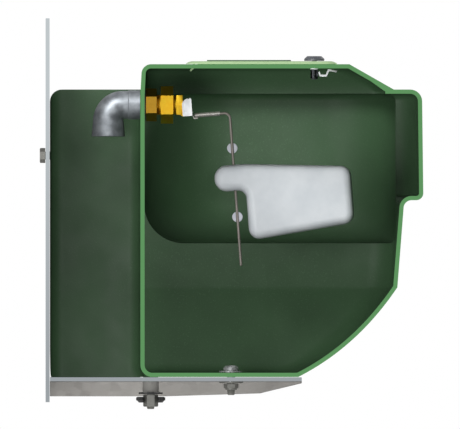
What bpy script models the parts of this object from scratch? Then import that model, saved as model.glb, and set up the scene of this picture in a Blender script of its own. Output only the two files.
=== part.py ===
# Livestock drinking bowl on a galvanised wall bracket, with a float valve under a hatch.
# Metres, +Z up. X = 0 is the rear face of the wall plate and +X points to the front.
# Y = 0 is the mid-plane, and Z = 0 is the top of the shelf that the bowl stands on.
import math

import bmesh
import bpy
from mathutils import Matrix, Vector

# Clearances and the sizes of standard hardware
SEAT = 0.0003
RUNNING = 0.0004
M8 = 0.0080
M8_HOLE = 0.0090
M8_ACROSS_FLATS = 0.0130
M8_HEAD = 0.0055
M8_NUT = 0.0065
WASHER_RADIUS = 0.0121
WASHER_THICK = 0.0017
HALF_INCH_THREAD = 0.0206
ROUND_STEPS = 20
CUT_PAST = 0.0020
CUT_SLIGHT = 0.0010
HEX_STEPS = 24
HEX_CUT = 0.06
HEX_CUT_FALL = 0.6
CORNER_UP = math.pi / 6
SMALL_STEPS = 16

# Galvanised bracket
PLATE_THICK = 0.0040
PLATE_HALF = 0.1200
PLATE_TOP = 0.3590
PLATE_BOTTOM = -0.0249
PLATE_CORNER = 0.0080
SHELF_FRONT_X = 0.2562
FLANGE_DEPTH = 0.0190
FLANGE_NOSE = 0.0060
FLANGE_TAPER_X = 0.1194
FLANGE_KNEE_X = 0.2144
FLANGE_KNEE_DEPTH = 0.0161
WALL_HOLE = 0.0110
WALL_HOLE_INSET = 0.0300
WALL_HOLE_TOP_Z = 0.3380
WALL_HOLE_BOTTOM_Z = -0.0140

# Moulded tub: wall, sump, niche for the supply pipe
WALL = 0.0042
TUB_BOTTOM = SEAT
TUB_REAR_X = PLATE_THICK + SEAT
DECK_Z = 0.2878
DECK_EDGE = 0.0120
SUMP_HALF_TOP = 0.1150
SUMP_HALF_FLOOR = 0.0800
SUMP_CREASE_Z = 0.0920
SUMP_REAR_CREASE_Z = 0.1190
SUMP_CREASE_X = 0.1800
FLOOR_EDGE = 0.0120
SUMP_REAR_CORNER = 0.0140
SUMP_FRONT_CORNER = 0.0300
SUMP_LEAST_CORNER = 0.0015
BOLT_TO_SUMP_SIDE = 0.0275
BOLT_TO_NICHE = 0.0275
REAR_BOLT_Y = SUMP_HALF_TOP - BOLT_TO_SUMP_SIDE
NICHE_HALF = REAR_BOLT_Y - BOLT_TO_NICHE
NICHE_END_X = 0.0948
NICHE_MOUTH = 0.0140
NICHE_FILLET = 0.0130

# Keel curve at the front of the sump and the lip above it
KEEL_FOOT_X = 0.2526
KEEL_PULL_X = 0.3113
KEEL_PULL_Z = 0.0299
KEEL_TOP_X = 0.3518
KEEL_TOP_Z = 0.0899
SUMP_FRONT_X = 0.3580
SUMP_FRONT_LEAN = 0.0006
LIP_UNDER_Z = 0.1771
LIP_CORNER = 0.0070
LIP_HOLLOW = 0.0080
LIP_FRONT_X = 0.3777
LIP_FRONT_TOP_X = 0.3766

# Basins on both sides of the sump, with a drinking opening in each deck
BASIN_HALF = 0.2850
BASIN_REAR_X = 0.0942
BASIN_FRONT_X = 0.3542
BASIN_BOTTOM_Z = 0.1298
BASIN_REAR_EDGE = 0.0440
BASIN_FRONT_EDGE = 0.0110
BASIN_REAR_CORNER = 0.0950
BASIN_FRONT_CORNER = 0.0750
OPENING_INNER_Y = 0.1120
OPENING_RIM = 0.0300
OPENING_CORNER = 0.0450

# Hood over the valve
HOOD_TOP_Z = 0.3131
HOOD_EDGE = 0.0090
HOOD_REAR_X = 0.0950
HOOD_LEAN = 0.0014
HOOD_SLOPE_TOP_X = 0.3038
HOOD_SLOPE_FOOT_X = 0.3482
HOOD_HALF_BASE = 0.0980
HOOD_HALF_TOP = 0.0820
HOOD_CORNER = 0.0200

# Hatch lid: a plate on the hood's top that hooks in at the rear
HATCH_REAR_X = 0.1454
HATCH_FRONT_X = 0.2925
HATCH_HALF = 0.0360
LID_REAR_X = 0.1404
LID_FRONT_X = 0.2914
LID_THICK = 0.0027
LID_SLOPE = 0.0070
LID_OVERLAP = 0.0040
LID_CORNER = 0.0100
LID_PLUG_THICK = 0.0018
LID_PLUG_REAR_X = 0.1520
LID_FLANGE_REACH = 0.0055
HOOK_RADIUS = 0.0080
HOOK_THICK = 0.0018
HOOK_HALF = 0.0080
HOOK_START = math.radians(6)
HOOK_SWEEP = math.radians(58)
PAD_REAR_X = 0.1614
PAD_LENGTH = 0.0840
PAD_HALF = 0.0130
PAD_HEIGHT = 0.0012

# Turn latch in the lid
LATCH_X = 0.2687
LATCH_HEAD_RADIUS = 0.0101
LATCH_HEAD_HEIGHT = 0.0048
LATCH_CHAMFER = 0.0028
LATCH_SLOT = 0.0030
LATCH_SLOT_DEPTH = 0.0018
LATCH_SHANK = 0.0050
LATCH_SHANK_SHOW = 0.0009
LATCH_COLLAR_RADIUS = 0.0040
LATCH_COLLAR_BOTTOM_Z = 0.3080
LATCH_NUT_RADIUS = 0.0040
LATCH_NUT_HEIGHT = 0.0090
LATCH_STRIP = 0.0018
LATCH_STRIP_HALF = 0.0050
LATCH_REACH = 0.0228
TONGUE_START = 0.0024
TONGUE_DIP = 0.0054
TONGUE_NOSE = 0.0014
TONGUE_FOOT = 0.0071
TONGUE_RISE = 0.0023
TONGUE_CREST = 0.0024
KEEPER_REAR = 0.0068
KEEPER_FRONT = 0.0052
KEEPER_INNER_Y = 0.0175

# Supply elbow and float valve, on one axis through the niche's end wall
VALVE_Z = 0.2724
ELBOW_DROP_X = 0.0627
ELBOW_BOTTOM_Z = 0.2408
ELBOW_BEND = 0.0155
ELBOW_RADIUS = 0.0140
ELBOW_SWELL = 0.0013
ELBOW_EDGE = 0.0006
ELBOW_BAND_RADIUS = 0.0146
ELBOW_BAND = 0.0120
ELBOW_MOUTH_RADIUS = 0.0167
GASKET_THICK = 0.0009
GASKET_RADIUS = 0.0150
BACKNUT_ACROSS_FLATS = 0.0284
BACKNUT_LENGTH = 0.0106
THREAD_SHOW = 0.0041
BODY_ACROSS_FLATS = 0.0324
BODY_HEX_LENGTH = 0.0124
NOZZLE_RADIUS = 0.0101
NOZZLE_LENGTH = 0.0099
NOZZLE_GROOVE = 0.0006
VALVE_CHAMFER = 0.0010
VALVE_BORE = 0.0130
NOZZLE_BORE = 0.0060
NOZZLE_NECK = 0.0028
JET_LENGTH = 0.0060
TAIL_INTO_ELBOW = 0.0100

# Lever, turned about its pin, as a square L that the shut valve holds at a small tilt
PIVOT_X = 0.1399
PIVOT_Z = 0.2637
LEVER_TILT = math.radians(4.27)
PIN = 0.0030
LUG_HALF = 0.0034
LUG_RADIUS = 0.0030
CLAPPER_REAR = -0.0029
CLAPPER_FRONT = 0.00675
CLAPPER_BOTTOM = -0.0026
CLAPPER_TOP = 0.0147
CLAPPER_ROUND = 0.0060
CHEEK_THICK = 0.0020
SEAL_RADIUS = 0.0050
SEAL_THICK = 0.0019
SLEEVE_START = 0.0088
SLEEVE_END = 0.0344
SLEEVE_DROP = 0.00255
SLEEVE_RADIUS = 0.0022
ROD = 0.0026
ROD_X = 0.0441
ROD_BEND = 0.0055
ROD_BOTTOM = -0.1558
STRAP_THICK = 0.0009
STRAP_HALF = 0.0030
STRAP_TOP = 0.0015
STRAP_UNDER = 0.0030
ROD_INSET = 0.0010
STOP_RADIUS = 0.00525
STOP_THICK = 0.0048
STOP_UPPER = -0.0380
STOP_LOWER = -0.1069

# Float, in the lever's own square frame
FLOAT_HALF = 0.0260
FLOAT_EDGE = 0.0080
FLOAT_ROUND = 0.0105
ARM_END = 0.0245
ARM_TOP = -0.0551
ARM_BOTTOM = -0.0803
ARM_ROUND = 0.0120
ARM_CROOK = 0.0085
FLOAT_REAR = 0.0550
FLOAT_FRONT = 0.1604
FLOAT_TOP_FALL = 0.0921
FLOAT_BOTTOM = -0.1311
FLOAT_BOTTOM_RISE = 0.0971

# Floor bolt, rear bolts, drain
FLOOR_BOLT_X = 0.1855
FLOOR_BOLT_HEAD_RADIUS = 0.0078
FLOOR_BOLT_HEAD = 0.0058
FLOOR_BOLT_END = 0.0050
REAR_BOLT_Z = 0.2218
REAR_BOLT_END = 0.0060
DRAIN_X = 0.1051
SPOUT_RADIUS = 0.0075
SPOUT_END_Z = -0.0146
DRAIN_WASHER_THICK = 0.0019
DRAIN_NUT_LENGTH = 0.0123
DRAIN_KNOB_RADIUS = 0.0146
DRAIN_KNOB_DROP = 0.0024
DRAIN_KNOB_HEIGHT = 0.0058
DRAIN_KNOB_CHAMFER = 0.0022
DRAIN_STUD_END = 0.0024
DRAIN_STUD_INSIDE = 0.0130


def clear_scene():
    for item in list(bpy.data.objects):
        bpy.data.objects.remove(item, do_unlink=True)


def finish(name, colour, roughness, metallic=0.0):
    """Makes one Principled material from an sRGB colour."""
    linear = [((c + 0.055) / 1.055) ** 2.4 if c > 0.04045 else c / 12.92 for c in colour]
    made = bpy.data.materials.new(name)
    made.use_nodes = True
    shader = made.node_tree.nodes["Principled BSDF"]
    shader.inputs["Base Color"].default_value = (*linear, 1.0)
    shader.inputs["Roughness"].default_value = roughness
    shader.inputs["Metallic"].default_value = metallic
    return made


def new_object(name, bm, parent=None):
    bmesh.ops.remove_doubles(bm, verts=bm.verts, dist=1e-7)
    bmesh.ops.recalc_face_normals(bm, faces=bm.faces)
    mesh = bpy.data.meshes.new(name)
    bm.to_mesh(mesh)
    bm.free()
    made = bpy.data.objects.new(name, mesh)
    bpy.context.scene.collection.objects.link(made)
    if parent:
        made.parent = parent
    return made


def combine(target, tool, operation="DIFFERENCE"):
    """Cuts or joins a tool into the target for good, and removes the tool."""
    step = target.modifiers.new(operation.title(), "BOOLEAN")
    step.operation = operation
    step.solver = "EXACT"
    step.object = tool
    graph = bpy.context.evaluated_depsgraph_get()
    graph.update()
    result = bpy.data.meshes.new_from_object(target.evaluated_get(graph))
    target.modifiers.remove(step)
    target.data = result
    bpy.data.objects.remove(tool, do_unlink=True)
    return target


def dress(target, material, smooth_angle=math.radians(35)):
    """Merges flat faces, drops degenerate ones, and gives the whole object one material."""
    bm = bmesh.new()
    bm.from_mesh(target.data)
    bmesh.ops.remove_doubles(bm, verts=bm.verts, dist=2e-6)
    bmesh.ops.dissolve_degenerate(bm, edges=bm.edges, dist=2e-6)
    bmesh.ops.dissolve_limit(bm, angle_limit=math.radians(0.2), verts=bm.verts, edges=bm.edges)
    bm.to_mesh(target.data)
    bm.free()
    target.data.materials.clear()
    target.data.materials.append(material)
    target.data.shade_smooth()
    target.data.set_sharp_from_angle(angle=smooth_angle)
    return target


def loft(rings):
    """Joins rings of equal count into one closed skin, with a flat cap at each end."""
    bm = bmesh.new()
    rows = [[bm.verts.new(p) for p in ring] for ring in rings]
    count = len(rows[0])
    for low, high in zip(rows, rows[1:]):
        for i in range(count):
            j = (i + 1) % count
            bm.faces.new((low[i], low[j], high[j], high[i]))
    bm.faces.new(list(reversed(rows[0])))
    bm.faces.new(rows[-1])
    return bm


def tube_skin(rings):
    """Joins rings in a closed loop, so the last ring meets the first and nothing is capped."""
    bm = bmesh.new()
    rows = [[bm.verts.new(p) for p in ring] for ring in rings]
    count = len(rows[0])
    for low, high in zip(rows, rows[1:] + rows[:1]):
        for i in range(count):
            j = (i + 1) % count
            bm.faces.new((low[i], low[j], high[j], high[i]))
    return bm


def box(low, high):
    bm = bmesh.new()
    size = Vector(high) - Vector(low)
    middle = (Vector(high) + Vector(low)) / 2
    place = Matrix.Translation(middle) @ Matrix.Diagonal((*size, 1.0))
    bmesh.ops.create_cube(bm, size=1.0, matrix=place)
    return bm


def round_bar(radius, start, end, steps=ROUND_STEPS, phase=0.0):
    """A straight bar between two points, round or with as many sides as steps says."""
    start, end = Vector(start), Vector(end)
    turn = (end - start).to_track_quat("Z", "Y").to_matrix()
    rings = []
    for centre in (start, end):
        around = [phase + math.tau * i / steps for i in range(steps)]
        spokes = [Vector((radius * math.cos(a), radius * math.sin(a), 0)) for a in around]
        rings.append([centre + turn @ spoke for spoke in spokes])
    return loft(rings)


def turned(profile, base, axis, steps=ROUND_STEPS):
    """Revolves an open profile of (radius, height) that starts and ends at radius 0."""
    base, turn = Vector(base), Vector(axis).to_track_quat("Z", "Y").to_matrix()
    bm = bmesh.new()
    first = bm.verts.new(base + turn @ Vector((0, 0, profile[0][1])))
    last = bm.verts.new(base + turn @ Vector((0, 0, profile[-1][1])))
    rows = []
    for radius, height in profile[1:-1]:
        ring = []
        for i in range(steps):
            a = math.tau * i / steps
            spoke = Vector((radius * math.cos(a), radius * math.sin(a), height))
            ring.append(bm.verts.new(base + turn @ spoke))
        rows.append(ring)
    for i in range(steps):
        j = (i + 1) % steps
        bm.faces.new((first, rows[0][j], rows[0][i]))
        for low, high in zip(rows, rows[1:]):
            bm.faces.new((low[i], low[j], high[j], high[i]))
        bm.faces.new((last, rows[-1][i], rows[-1][j]))
    return bm


def turned_ring(profile, base, axis, steps=ROUND_STEPS, sides=None, phase=0.0):
    """Revolves a closed profile that keeps clear of the axis. Corners in sides follow a hexagon,
    turned by phase."""
    base, turn = Vector(base), Vector(axis).to_track_quat("Z", "Y").to_matrix()
    columns = []
    for i in range(steps):
        a = math.tau * i / steps
        spread = math.cos(math.pi / 6) / math.cos(((a - phase) % (math.pi / 3)) - math.pi / 6)
        ring = []
        for n, (radius, height) in enumerate(profile):
            r = radius * (spread if sides and n in sides else 1.0)
            ring.append(base + turn @ Vector((r * math.cos(a), r * math.sin(a), height)))
        columns.append(ring)
    return tube_skin(columns)


def arc(cx, cy, radius, start, end, steps):
    """Points on an arc in its own plane, with angles in degrees."""
    angles = [math.radians(start + (end - start) * i / steps) for i in range(steps + 1)]
    return [(cx + radius * math.cos(a), cy + radius * math.sin(a)) for a in angles]


def rounded(corners, steps=5):
    """Rounds each (x, z, radius) corner of a closed outline with an arc."""
    points = []
    count = len(corners)
    for i, (x, z, radius) in enumerate(corners):
        here = Vector((x, z))
        if radius == 0:
            points.append(here)
            continue
        before = (Vector(corners[i - 1][:2]) - here).normalized()
        after = (Vector(corners[(i + 1) % count][:2]) - here).normalized()
        half = before.angle(after) / 2
        centre = here + (before + after).normalized() * (radius / math.sin(half))
        start = here + before * (radius / math.tan(half)) - centre
        end = here + after * (radius / math.tan(half)) - centre
        sweep = start.angle_signed(end)
        for n in range(steps + 1):
            points.append(centre + Matrix.Rotation(-sweep * n / steps, 2) @ start)
    return points


def inset(points, distance):
    """Moves a closed outline inwards. The outline's points run clockwise in X and Z."""
    moved = []
    count = len(points)
    for i, here in enumerate(points):
        into = (here - points[i - 1]).normalized()
        out = (points[(i + 1) % count] - here).normalized()
        side_in, side_out = Vector((into.y, -into.x)), Vector((out.y, -out.x))
        middle = (side_in + side_out).normalized()
        moved.append(here + middle * (distance / max(middle.dot(side_in), 0.5)))
    return moved


def slab(points, low, high):
    """Extrudes an X and Z outline along Y."""
    return loft([[Vector((p[0], y, p[1])) for p in points] for y in (low, high)])


def edge_setback(z, centre, radius):
    """How far a rounded edge draws a wall in at a height past the arc's centre."""
    rise = min(abs(z - centre), radius)
    return radius - math.sqrt(max(radius * radius - rise * rise, 0.0))


def plan_ring(z, rear, front, half, corners, mid=None, steps=(3, 4)):
    """A rounded rectangle in plan at one height. mid is (x, half width) of a waist point."""
    half_rear, half_front = half
    r_rear, r_front = corners
    side = arc(front - r_front, half_front - r_front, r_front, 0, 90, steps[1])
    if mid:
        side.append(mid)
    side += arc(rear + r_rear, half_rear - r_rear, r_rear, 90, 180, steps[0])
    other = [(x, -y) for x, y in reversed(side)]
    return [Vector((x, y, z)) for x, y in side + other]


def shifted(points, distance):
    """Offsets an open outline in X and Z to its left, towards the inside of the tub."""
    moved = []
    for i, (x, z) in enumerate(points):
        before = Vector(points[max(i - 1, 0)])
        after = Vector(points[min(i + 1, len(points) - 1)])
        here = Vector((x, z))
        first = (here - before) if i else (after - here)
        second = (after - here) if i < len(points) - 1 else (here - before)
        n1 = Vector((-first.y, first.x)).normalized()
        n2 = Vector((-second.y, second.x)).normalized()
        middle = (n1 + n2).normalized()
        moved.append(tuple(here + middle * (distance / max(middle.dot(n1), 0.6))))
    return moved


def front_outline():
    """The sump's front from its foot up to the lip, as the section shows it."""
    points = []
    for i in range(11):
        t = i / 10
        keep = 1 - t
        x = keep * keep * KEEL_FOOT_X + 2 * t * keep * KEEL_PULL_X + t * t * KEEL_TOP_X
        z = keep * keep * TUB_BOTTOM + 2 * t * keep * KEEL_PULL_Z + t * t * KEEL_TOP_Z
        points.append((x, z))
    hollow_x, hollow_z = SUMP_FRONT_X + LIP_HOLLOW, LIP_UNDER_Z - LIP_HOLLOW
    points.append((SUMP_FRONT_X - SUMP_FRONT_LEAN, hollow_z - LIP_HOLLOW))
    points += arc(hollow_x, hollow_z, LIP_HOLLOW, 180, 92, 4)
    points += arc(LIP_FRONT_X - LIP_CORNER, LIP_UNDER_Z + LIP_CORNER, LIP_CORNER, -90, 0, 4)
    return points


def sump(depth):
    """Sump and lip as one solid, drawn in from the outside by depth."""
    rings = []
    floor_z, deck_z = TUB_BOTTOM + depth, DECK_Z - depth
    floor_centre, deck_centre = TUB_BOTTOM + FLOOR_EDGE, DECK_Z - DECK_EDGE
    outline = shifted(front_outline(), depth)
    first_x, first_z = outline[0]
    next_x, next_z = outline[1]
    grow = (floor_z - first_z) / (next_z - first_z)
    outline[0] = (first_x + (next_x - first_x) * grow, floor_z)
    levels = [(x, z) for x, z in outline if z >= floor_z]
    deck_rise = DECK_EDGE - depth
    for i in range(5):
        a = math.radians(90 * i / 4)
        z = deck_centre + deck_rise * math.sin(a)
        levels.append((LIP_FRONT_TOP_X - depth - deck_rise * (1 - math.cos(a)), z))
    for x, z in levels:
        draw = depth
        if z < floor_centre:
            draw += edge_setback(z, floor_centre, FLOOR_EDGE - depth)
        if z > deck_centre:
            draw += edge_setback(z, deck_centre, DECK_EDGE - depth)
        rise = SUMP_HALF_TOP - SUMP_HALF_FLOOR
        half_front = SUMP_HALF_FLOOR + rise * min(z / SUMP_CREASE_Z, 1.0) - draw
        half_rear = SUMP_HALF_FLOOR + rise * min(z / SUMP_REAR_CREASE_Z, 1.0) - draw
        corners = (max(SUMP_REAR_CORNER - draw, SUMP_LEAST_CORNER), SUMP_FRONT_CORNER - draw / 2)
        mid = (SUMP_CREASE_X, half_front)
        rings.append(plan_ring(z, TUB_REAR_X + draw, x, (half_rear, half_front), corners, mid))
    return new_object("sump", loft(rings))


def basins(depth):
    """The block of both basins, which runs through the sump from side to side."""
    rings = []
    low, high = BASIN_BOTTOM_Z, DECK_Z
    stops = [0.0, 0.02, 0.08, 0.2, 0.4, 0.7, 1.0]
    levels = [low + depth + (BASIN_REAR_EDGE - depth) * s for s in stops]
    deck_rise = DECK_EDGE - depth
    levels += [high - DECK_EDGE + deck_rise * math.sin(math.radians(90 * i / 4)) for i in range(5)]
    for z in levels:
        rear_draw = front_draw = depth
        if z < low + BASIN_REAR_EDGE:
            rear_draw += edge_setback(z, low + BASIN_REAR_EDGE, BASIN_REAR_EDGE - depth)
        if z < low + BASIN_FRONT_EDGE:
            front_draw += edge_setback(z, low + BASIN_FRONT_EDGE, BASIN_FRONT_EDGE - depth)
        if z > high - DECK_EDGE:
            top_draw = edge_setback(z, high - DECK_EDGE, DECK_EDGE - depth)
            rear_draw += top_draw
            front_draw += top_draw
        half = BASIN_HALF - rear_draw
        corners = (BASIN_REAR_CORNER - rear_draw, BASIN_FRONT_CORNER - front_draw)
        ring = plan_ring(z, BASIN_REAR_X + rear_draw, BASIN_FRONT_X - front_draw, (half, half), corners,
                         steps=(7, 7))
        rings.append(ring)
    return new_object("basins", loft(rings))


def hood(depth):
    """The raised hood over the valve, from inside the sump up to its flat top."""
    rings = []
    foot_z = DECK_Z - 2 * DECK_EDGE
    top_z = HOOD_TOP_Z - depth
    edge = HOOD_EDGE - depth
    edge_centre = HOOD_TOP_Z - HOOD_EDGE
    slope = (HOOD_SLOPE_FOOT_X - HOOD_SLOPE_TOP_X) / (HOOD_TOP_Z - DECK_Z)
    slope_draw = depth * math.sqrt(1 + slope * slope)
    levels = [foot_z, DECK_Z - depth * 0.5]
    levels += [DECK_Z + (edge_centre - DECK_Z) * 0.5]
    levels += [edge_centre + edge * math.sin(math.radians(90 * i / 4)) for i in range(5)]
    for z in levels:
        rise = max(z - DECK_Z, 0.0)
        share = rise / (HOOD_TOP_Z - DECK_Z)
        draw = depth + (edge_setback(z, edge_centre, edge) if z > edge_centre else 0.0)
        half = HOOD_HALF_BASE + (HOOD_HALF_TOP - HOOD_HALF_BASE) * share - draw
        rear = HOOD_REAR_X + HOOD_LEAN * share + draw
        front = HOOD_SLOPE_FOOT_X - slope * rise - slope_draw
        corners = (HOOD_CORNER - depth, HOOD_CORNER - depth)
        rings.append(plan_ring(z, rear, front, (half, half), corners))
    return new_object("hood", loft(rings))


def niche(depth):
    """The recess for the supply pipe, grown outwards by depth. Its foot flares to round the floor's edge."""
    rings = []
    centre = TUB_BOTTOM + FLOOR_EDGE
    radius = FLOOR_EDGE - depth
    levels = [centre - radius * math.cos(math.radians(90 * i / 4)) for i in range(5)]
    levels[0] -= CUT_PAST
    levels.append(HOOD_TOP_Z + 10 * CUT_PAST)
    for z in levels:
        grow = depth + (edge_setback(max(z, centre - radius), centre, radius) if z < centre else 0.0)
        mouth = arc(TUB_REAR_X + NICHE_MOUTH, NICHE_HALF + NICHE_MOUTH, NICHE_MOUTH - grow, 180, 270, 4)
        end = arc(NICHE_END_X - NICHE_FILLET, NICHE_HALF - NICHE_FILLET, NICHE_FILLET + grow, 90, 0, 4)
        side = [(-10 * CUT_PAST, mouth[0][1])] + mouth + end
        other = [(x, -y) for x, y in reversed(side)]
        rings.append([Vector((x, y, z)) for x, y in side + other])
    return new_object("niche", loft(rings))


def tub_volume(depth):
    solid = sump(depth)
    combine(solid, basins(depth), "UNION")
    combine(solid, hood(depth), "UNION")
    return combine(solid, niche(depth))


def drinking_opening(side):
    """A rounded cutter through the deck of one basin."""
    rings = []
    inner, outer = OPENING_INNER_Y, BASIN_HALF - OPENING_RIM
    rear, front = BASIN_REAR_X + OPENING_RIM, BASIN_FRONT_X - OPENING_RIM
    middle, half = (inner + outer) / 2, (outer - inner) / 2
    for z in (DECK_Z - WALL - CUT_PAST, DECK_Z + CUT_PAST):
        ring = plan_ring(z, rear, front, (half, half), (OPENING_CORNER, OPENING_CORNER), steps=(5, 5))
        rings.append([p + Vector((0, side * middle, 0)) for p in ring])
    return new_object("drinking_opening", loft(rings))


def make_tub(material):
    tub = tub_volume(0.0)
    spout_top = TUB_BOTTOM + FLOOR_EDGE
    spout = round_bar(SPOUT_RADIUS, (DRAIN_X, 0, SPOUT_END_Z), (DRAIN_X, 0, spout_top))
    combine(tub, new_object("spout", spout), "UNION")
    combine(tub, tub_volume(WALL))
    for side in (-1, 1):
        combine(tub, drinking_opening(side))
    through = HOOD_TOP_Z - WALL - CUT_PAST
    combine(tub, new_object("hatch", box((HATCH_REAR_X, -HATCH_HALF, through),
                                         (HATCH_FRONT_X, HATCH_HALF, HOOD_TOP_Z + CUT_PAST))))
    step_depth = LID_PLUG_THICK + SEAT
    combine(tub, new_object("rebate", box(
        (HATCH_FRONT_X - CUT_PAST, -HATCH_HALF, HOOD_TOP_Z - step_depth),
        (HATCH_FRONT_X + LID_FLANGE_REACH + SEAT, HATCH_HALF, HOOD_TOP_Z + CUT_PAST))))
    keeper_top = HOOD_TOP_Z - step_depth - SEAT
    keeper_low = LATCH_COLLAR_BOTTOM_Z + RUNNING
    combine(tub, new_object("keeper", box(
        (LATCH_X - KEEPER_REAR, KEEPER_INNER_Y, keeper_low),
        (LATCH_X + KEEPER_FRONT, HATCH_HALF + CUT_SLIGHT, keeper_top))), "UNION")
    clear_z = TUB_BOTTOM + WALL + CUT_PAST
    drain = round_bar(M8_HOLE / 2, (DRAIN_X, 0, SPOUT_END_Z - CUT_PAST), (DRAIN_X, 0, clear_z))
    combine(tub, new_object("drain", drain))
    floor = round_bar(M8_HOLE / 2, (FLOOR_BOLT_X, 0, -CUT_PAST), (FLOOR_BOLT_X, 0, clear_z))
    combine(tub, new_object("floor_hole", floor))
    inlet = round_bar(HALF_INCH_THREAD / 2 + SEAT, (NICHE_END_X - CUT_PAST, 0, VALVE_Z),
                      (NICHE_END_X + WALL + CUT_PAST, 0, VALVE_Z))
    combine(tub, new_object("inlet_hole", inlet))
    for side in (-1, 1):
        rear = round_bar(M8_HOLE / 2, (TUB_REAR_X - CUT_PAST, side * REAR_BOLT_Y, REAR_BOLT_Z),
                         (TUB_REAR_X + WALL + CUT_PAST, side * REAR_BOLT_Y, REAR_BOLT_Z))
        combine(tub, new_object("rear_hole", rear))
    tub.name = "tub_shell"
    return dress(tub, material)


def make_back_plate(material):
    low, high, half, corner = PLATE_BOTTOM, PLATE_TOP, PLATE_HALF, PLATE_CORNER
    outline = arc(half - corner, high - corner, corner, 0, 90, 3)
    outline += arc(-half + corner, high - corner, corner, 90, 180, 3)
    outline += arc(-half + corner, low + corner, corner, 180, 270, 3)
    outline += arc(half - corner, low + corner, corner, 270, 360, 3)
    faces = [[Vector((x, y, z)) for y, z in outline] for x in (0, PLATE_THICK)]
    plate = new_object("back_plate", loft(faces))
    wall_y = half - WALL_HOLE_INSET
    holes = []
    for side in (-1, 1):
        holes += [(side * wall_y, z, WALL_HOLE) for z in (WALL_HOLE_TOP_Z, WALL_HOLE_BOTTOM_Z)]
        holes.append((side * REAR_BOLT_Y, REAR_BOLT_Z, M8_HOLE))
    for y, z, size in holes:
        bar = round_bar(size / 2, (-CUT_PAST, y, z), (PLATE_THICK + CUT_PAST, y, z))
        combine(plate, new_object("hole", bar))
    return dress(plate, material)


def make_shelf(material):
    """A folded channel: flat on top, with side flanges that taper to the front."""
    rear = PLATE_THICK + SEAT
    outline = [(rear, 0.0), (SHELF_FRONT_X, 0.0), (SHELF_FRONT_X, -FLANGE_NOSE),
               (FLANGE_KNEE_X, -FLANGE_KNEE_DEPTH), (FLANGE_TAPER_X, -FLANGE_DEPTH), (rear, -FLANGE_DEPTH)]
    shelf = new_object("shelf_plate", slab(outline, -PLATE_HALF, PLATE_HALF))
    inner = PLATE_HALF - PLATE_THICK
    combine(shelf, new_object("channel", box((rear - CUT_PAST, -inner, -FLANGE_DEPTH - CUT_PAST),
                                             (SHELF_FRONT_X + CUT_PAST, inner, -PLATE_THICK))))
    for x, radius in ((FLOOR_BOLT_X, M8_HOLE / 2), (DRAIN_X, SPOUT_RADIUS + RUNNING * 2)):
        bar = round_bar(radius, (x, 0, -PLATE_THICK - CUT_PAST), (x, 0, CUT_PAST))
        combine(shelf, new_object("hole", bar))
    return dress(shelf, material)


def washer(name, base, axis, thick, material, radius=WASHER_RADIUS, hole=M8_HOLE / 2, parent=None):
    profile = [(hole, 0), (radius, 0), (radius, thick), (hole, thick)]
    return dress(new_object(name, turned_ring(profile, base, axis), parent=parent), material)


def hex_nut(name, base, axis, length, material, across=M8_ACROSS_FLATS, hole=M8_HOLE / 2, phase=0.0):
    """A hexagon nut with chamfered ends and a plain hole."""
    corner = across / 2 / math.cos(math.pi / 6)
    cut = across * HEX_CUT
    fall = cut * HEX_CUT_FALL
    profile = [(hole, 0), (corner - cut, 0), (corner, fall), (corner, length - fall),
               (corner - cut, length), (hole, length)]
    ring = turned_ring(profile, base, axis, steps=HEX_STEPS, sides=(1, 2, 3, 4), phase=phase)
    return dress(new_object(name, ring), material)


def make_rear_fixings(steel):
    for side, label in ((-1, "left"), (1, "right")):
        y = side * REAR_BOLT_Y
        nut_x = TUB_REAR_X + WALL + SEAT + WASHER_THICK + SEAT
        end = nut_x + M8_NUT + REAR_BOLT_END
        bolt = new_object("rear_bolt_" + label, round_bar(
            M8_ACROSS_FLATS / 2 / math.cos(math.pi / 6), (-SEAT - M8_HEAD, y, REAR_BOLT_Z),
            (-SEAT, y, REAR_BOLT_Z), steps=6, phase=CORNER_UP))
        shank = round_bar(M8 / 2, (-SEAT - M8_HEAD / 2, y, REAR_BOLT_Z), (end, y, REAR_BOLT_Z),
                          steps=SMALL_STEPS)
        combine(bolt, new_object("shank", shank), "UNION")
        dress(bolt, steel)
        washer("rear_washer_" + label, (nut_x - SEAT - WASHER_THICK, y, REAR_BOLT_Z), (1, 0, 0),
               WASHER_THICK, steel)
        hex_nut("rear_nut_" + label, (nut_x, y, REAR_BOLT_Z), (1, 0, 0), M8_NUT, steel, phase=CORNER_UP)


def make_floor_fixings(steel):
    """A domed bolt down through the sump's floor and the shelf."""
    seat_z = TUB_BOTTOM + WALL + SEAT + WASHER_THICK + SEAT
    under_z = -PLATE_THICK - SEAT
    nut_z = under_z - WASHER_THICK - SEAT
    end_z = nut_z - M8_NUT - FLOOR_BOLT_END
    rise, radius = FLOOR_BOLT_HEAD, FLOOR_BOLT_HEAD_RADIUS
    dome = [(radius * math.cos(math.radians(a)), seat_z + rise * (0.15 + 0.85 * math.sin(math.radians(a))))
            for a in (0, 25, 50, 75)]
    profile = [(0, end_z), (M8 / 2, end_z), (M8 / 2, seat_z), (radius, seat_z)]
    profile += dome + [(0, seat_z + rise)]
    bolt = new_object("floor_bolt", turned(profile, (FLOOR_BOLT_X, 0, 0), (0, 0, 1)))
    dress(bolt, steel)
    washer("floor_washer_inner", (FLOOR_BOLT_X, 0, TUB_BOTTOM + WALL + SEAT), (0, 0, 1), WASHER_THICK, steel)
    washer("floor_washer_outer", (FLOOR_BOLT_X, 0, under_z), (0, 0, -1), WASHER_THICK, steel)
    hex_nut("floor_nut", (FLOOR_BOLT_X, 0, nut_z), (0, 0, -1), M8_NUT, steel)


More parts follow.
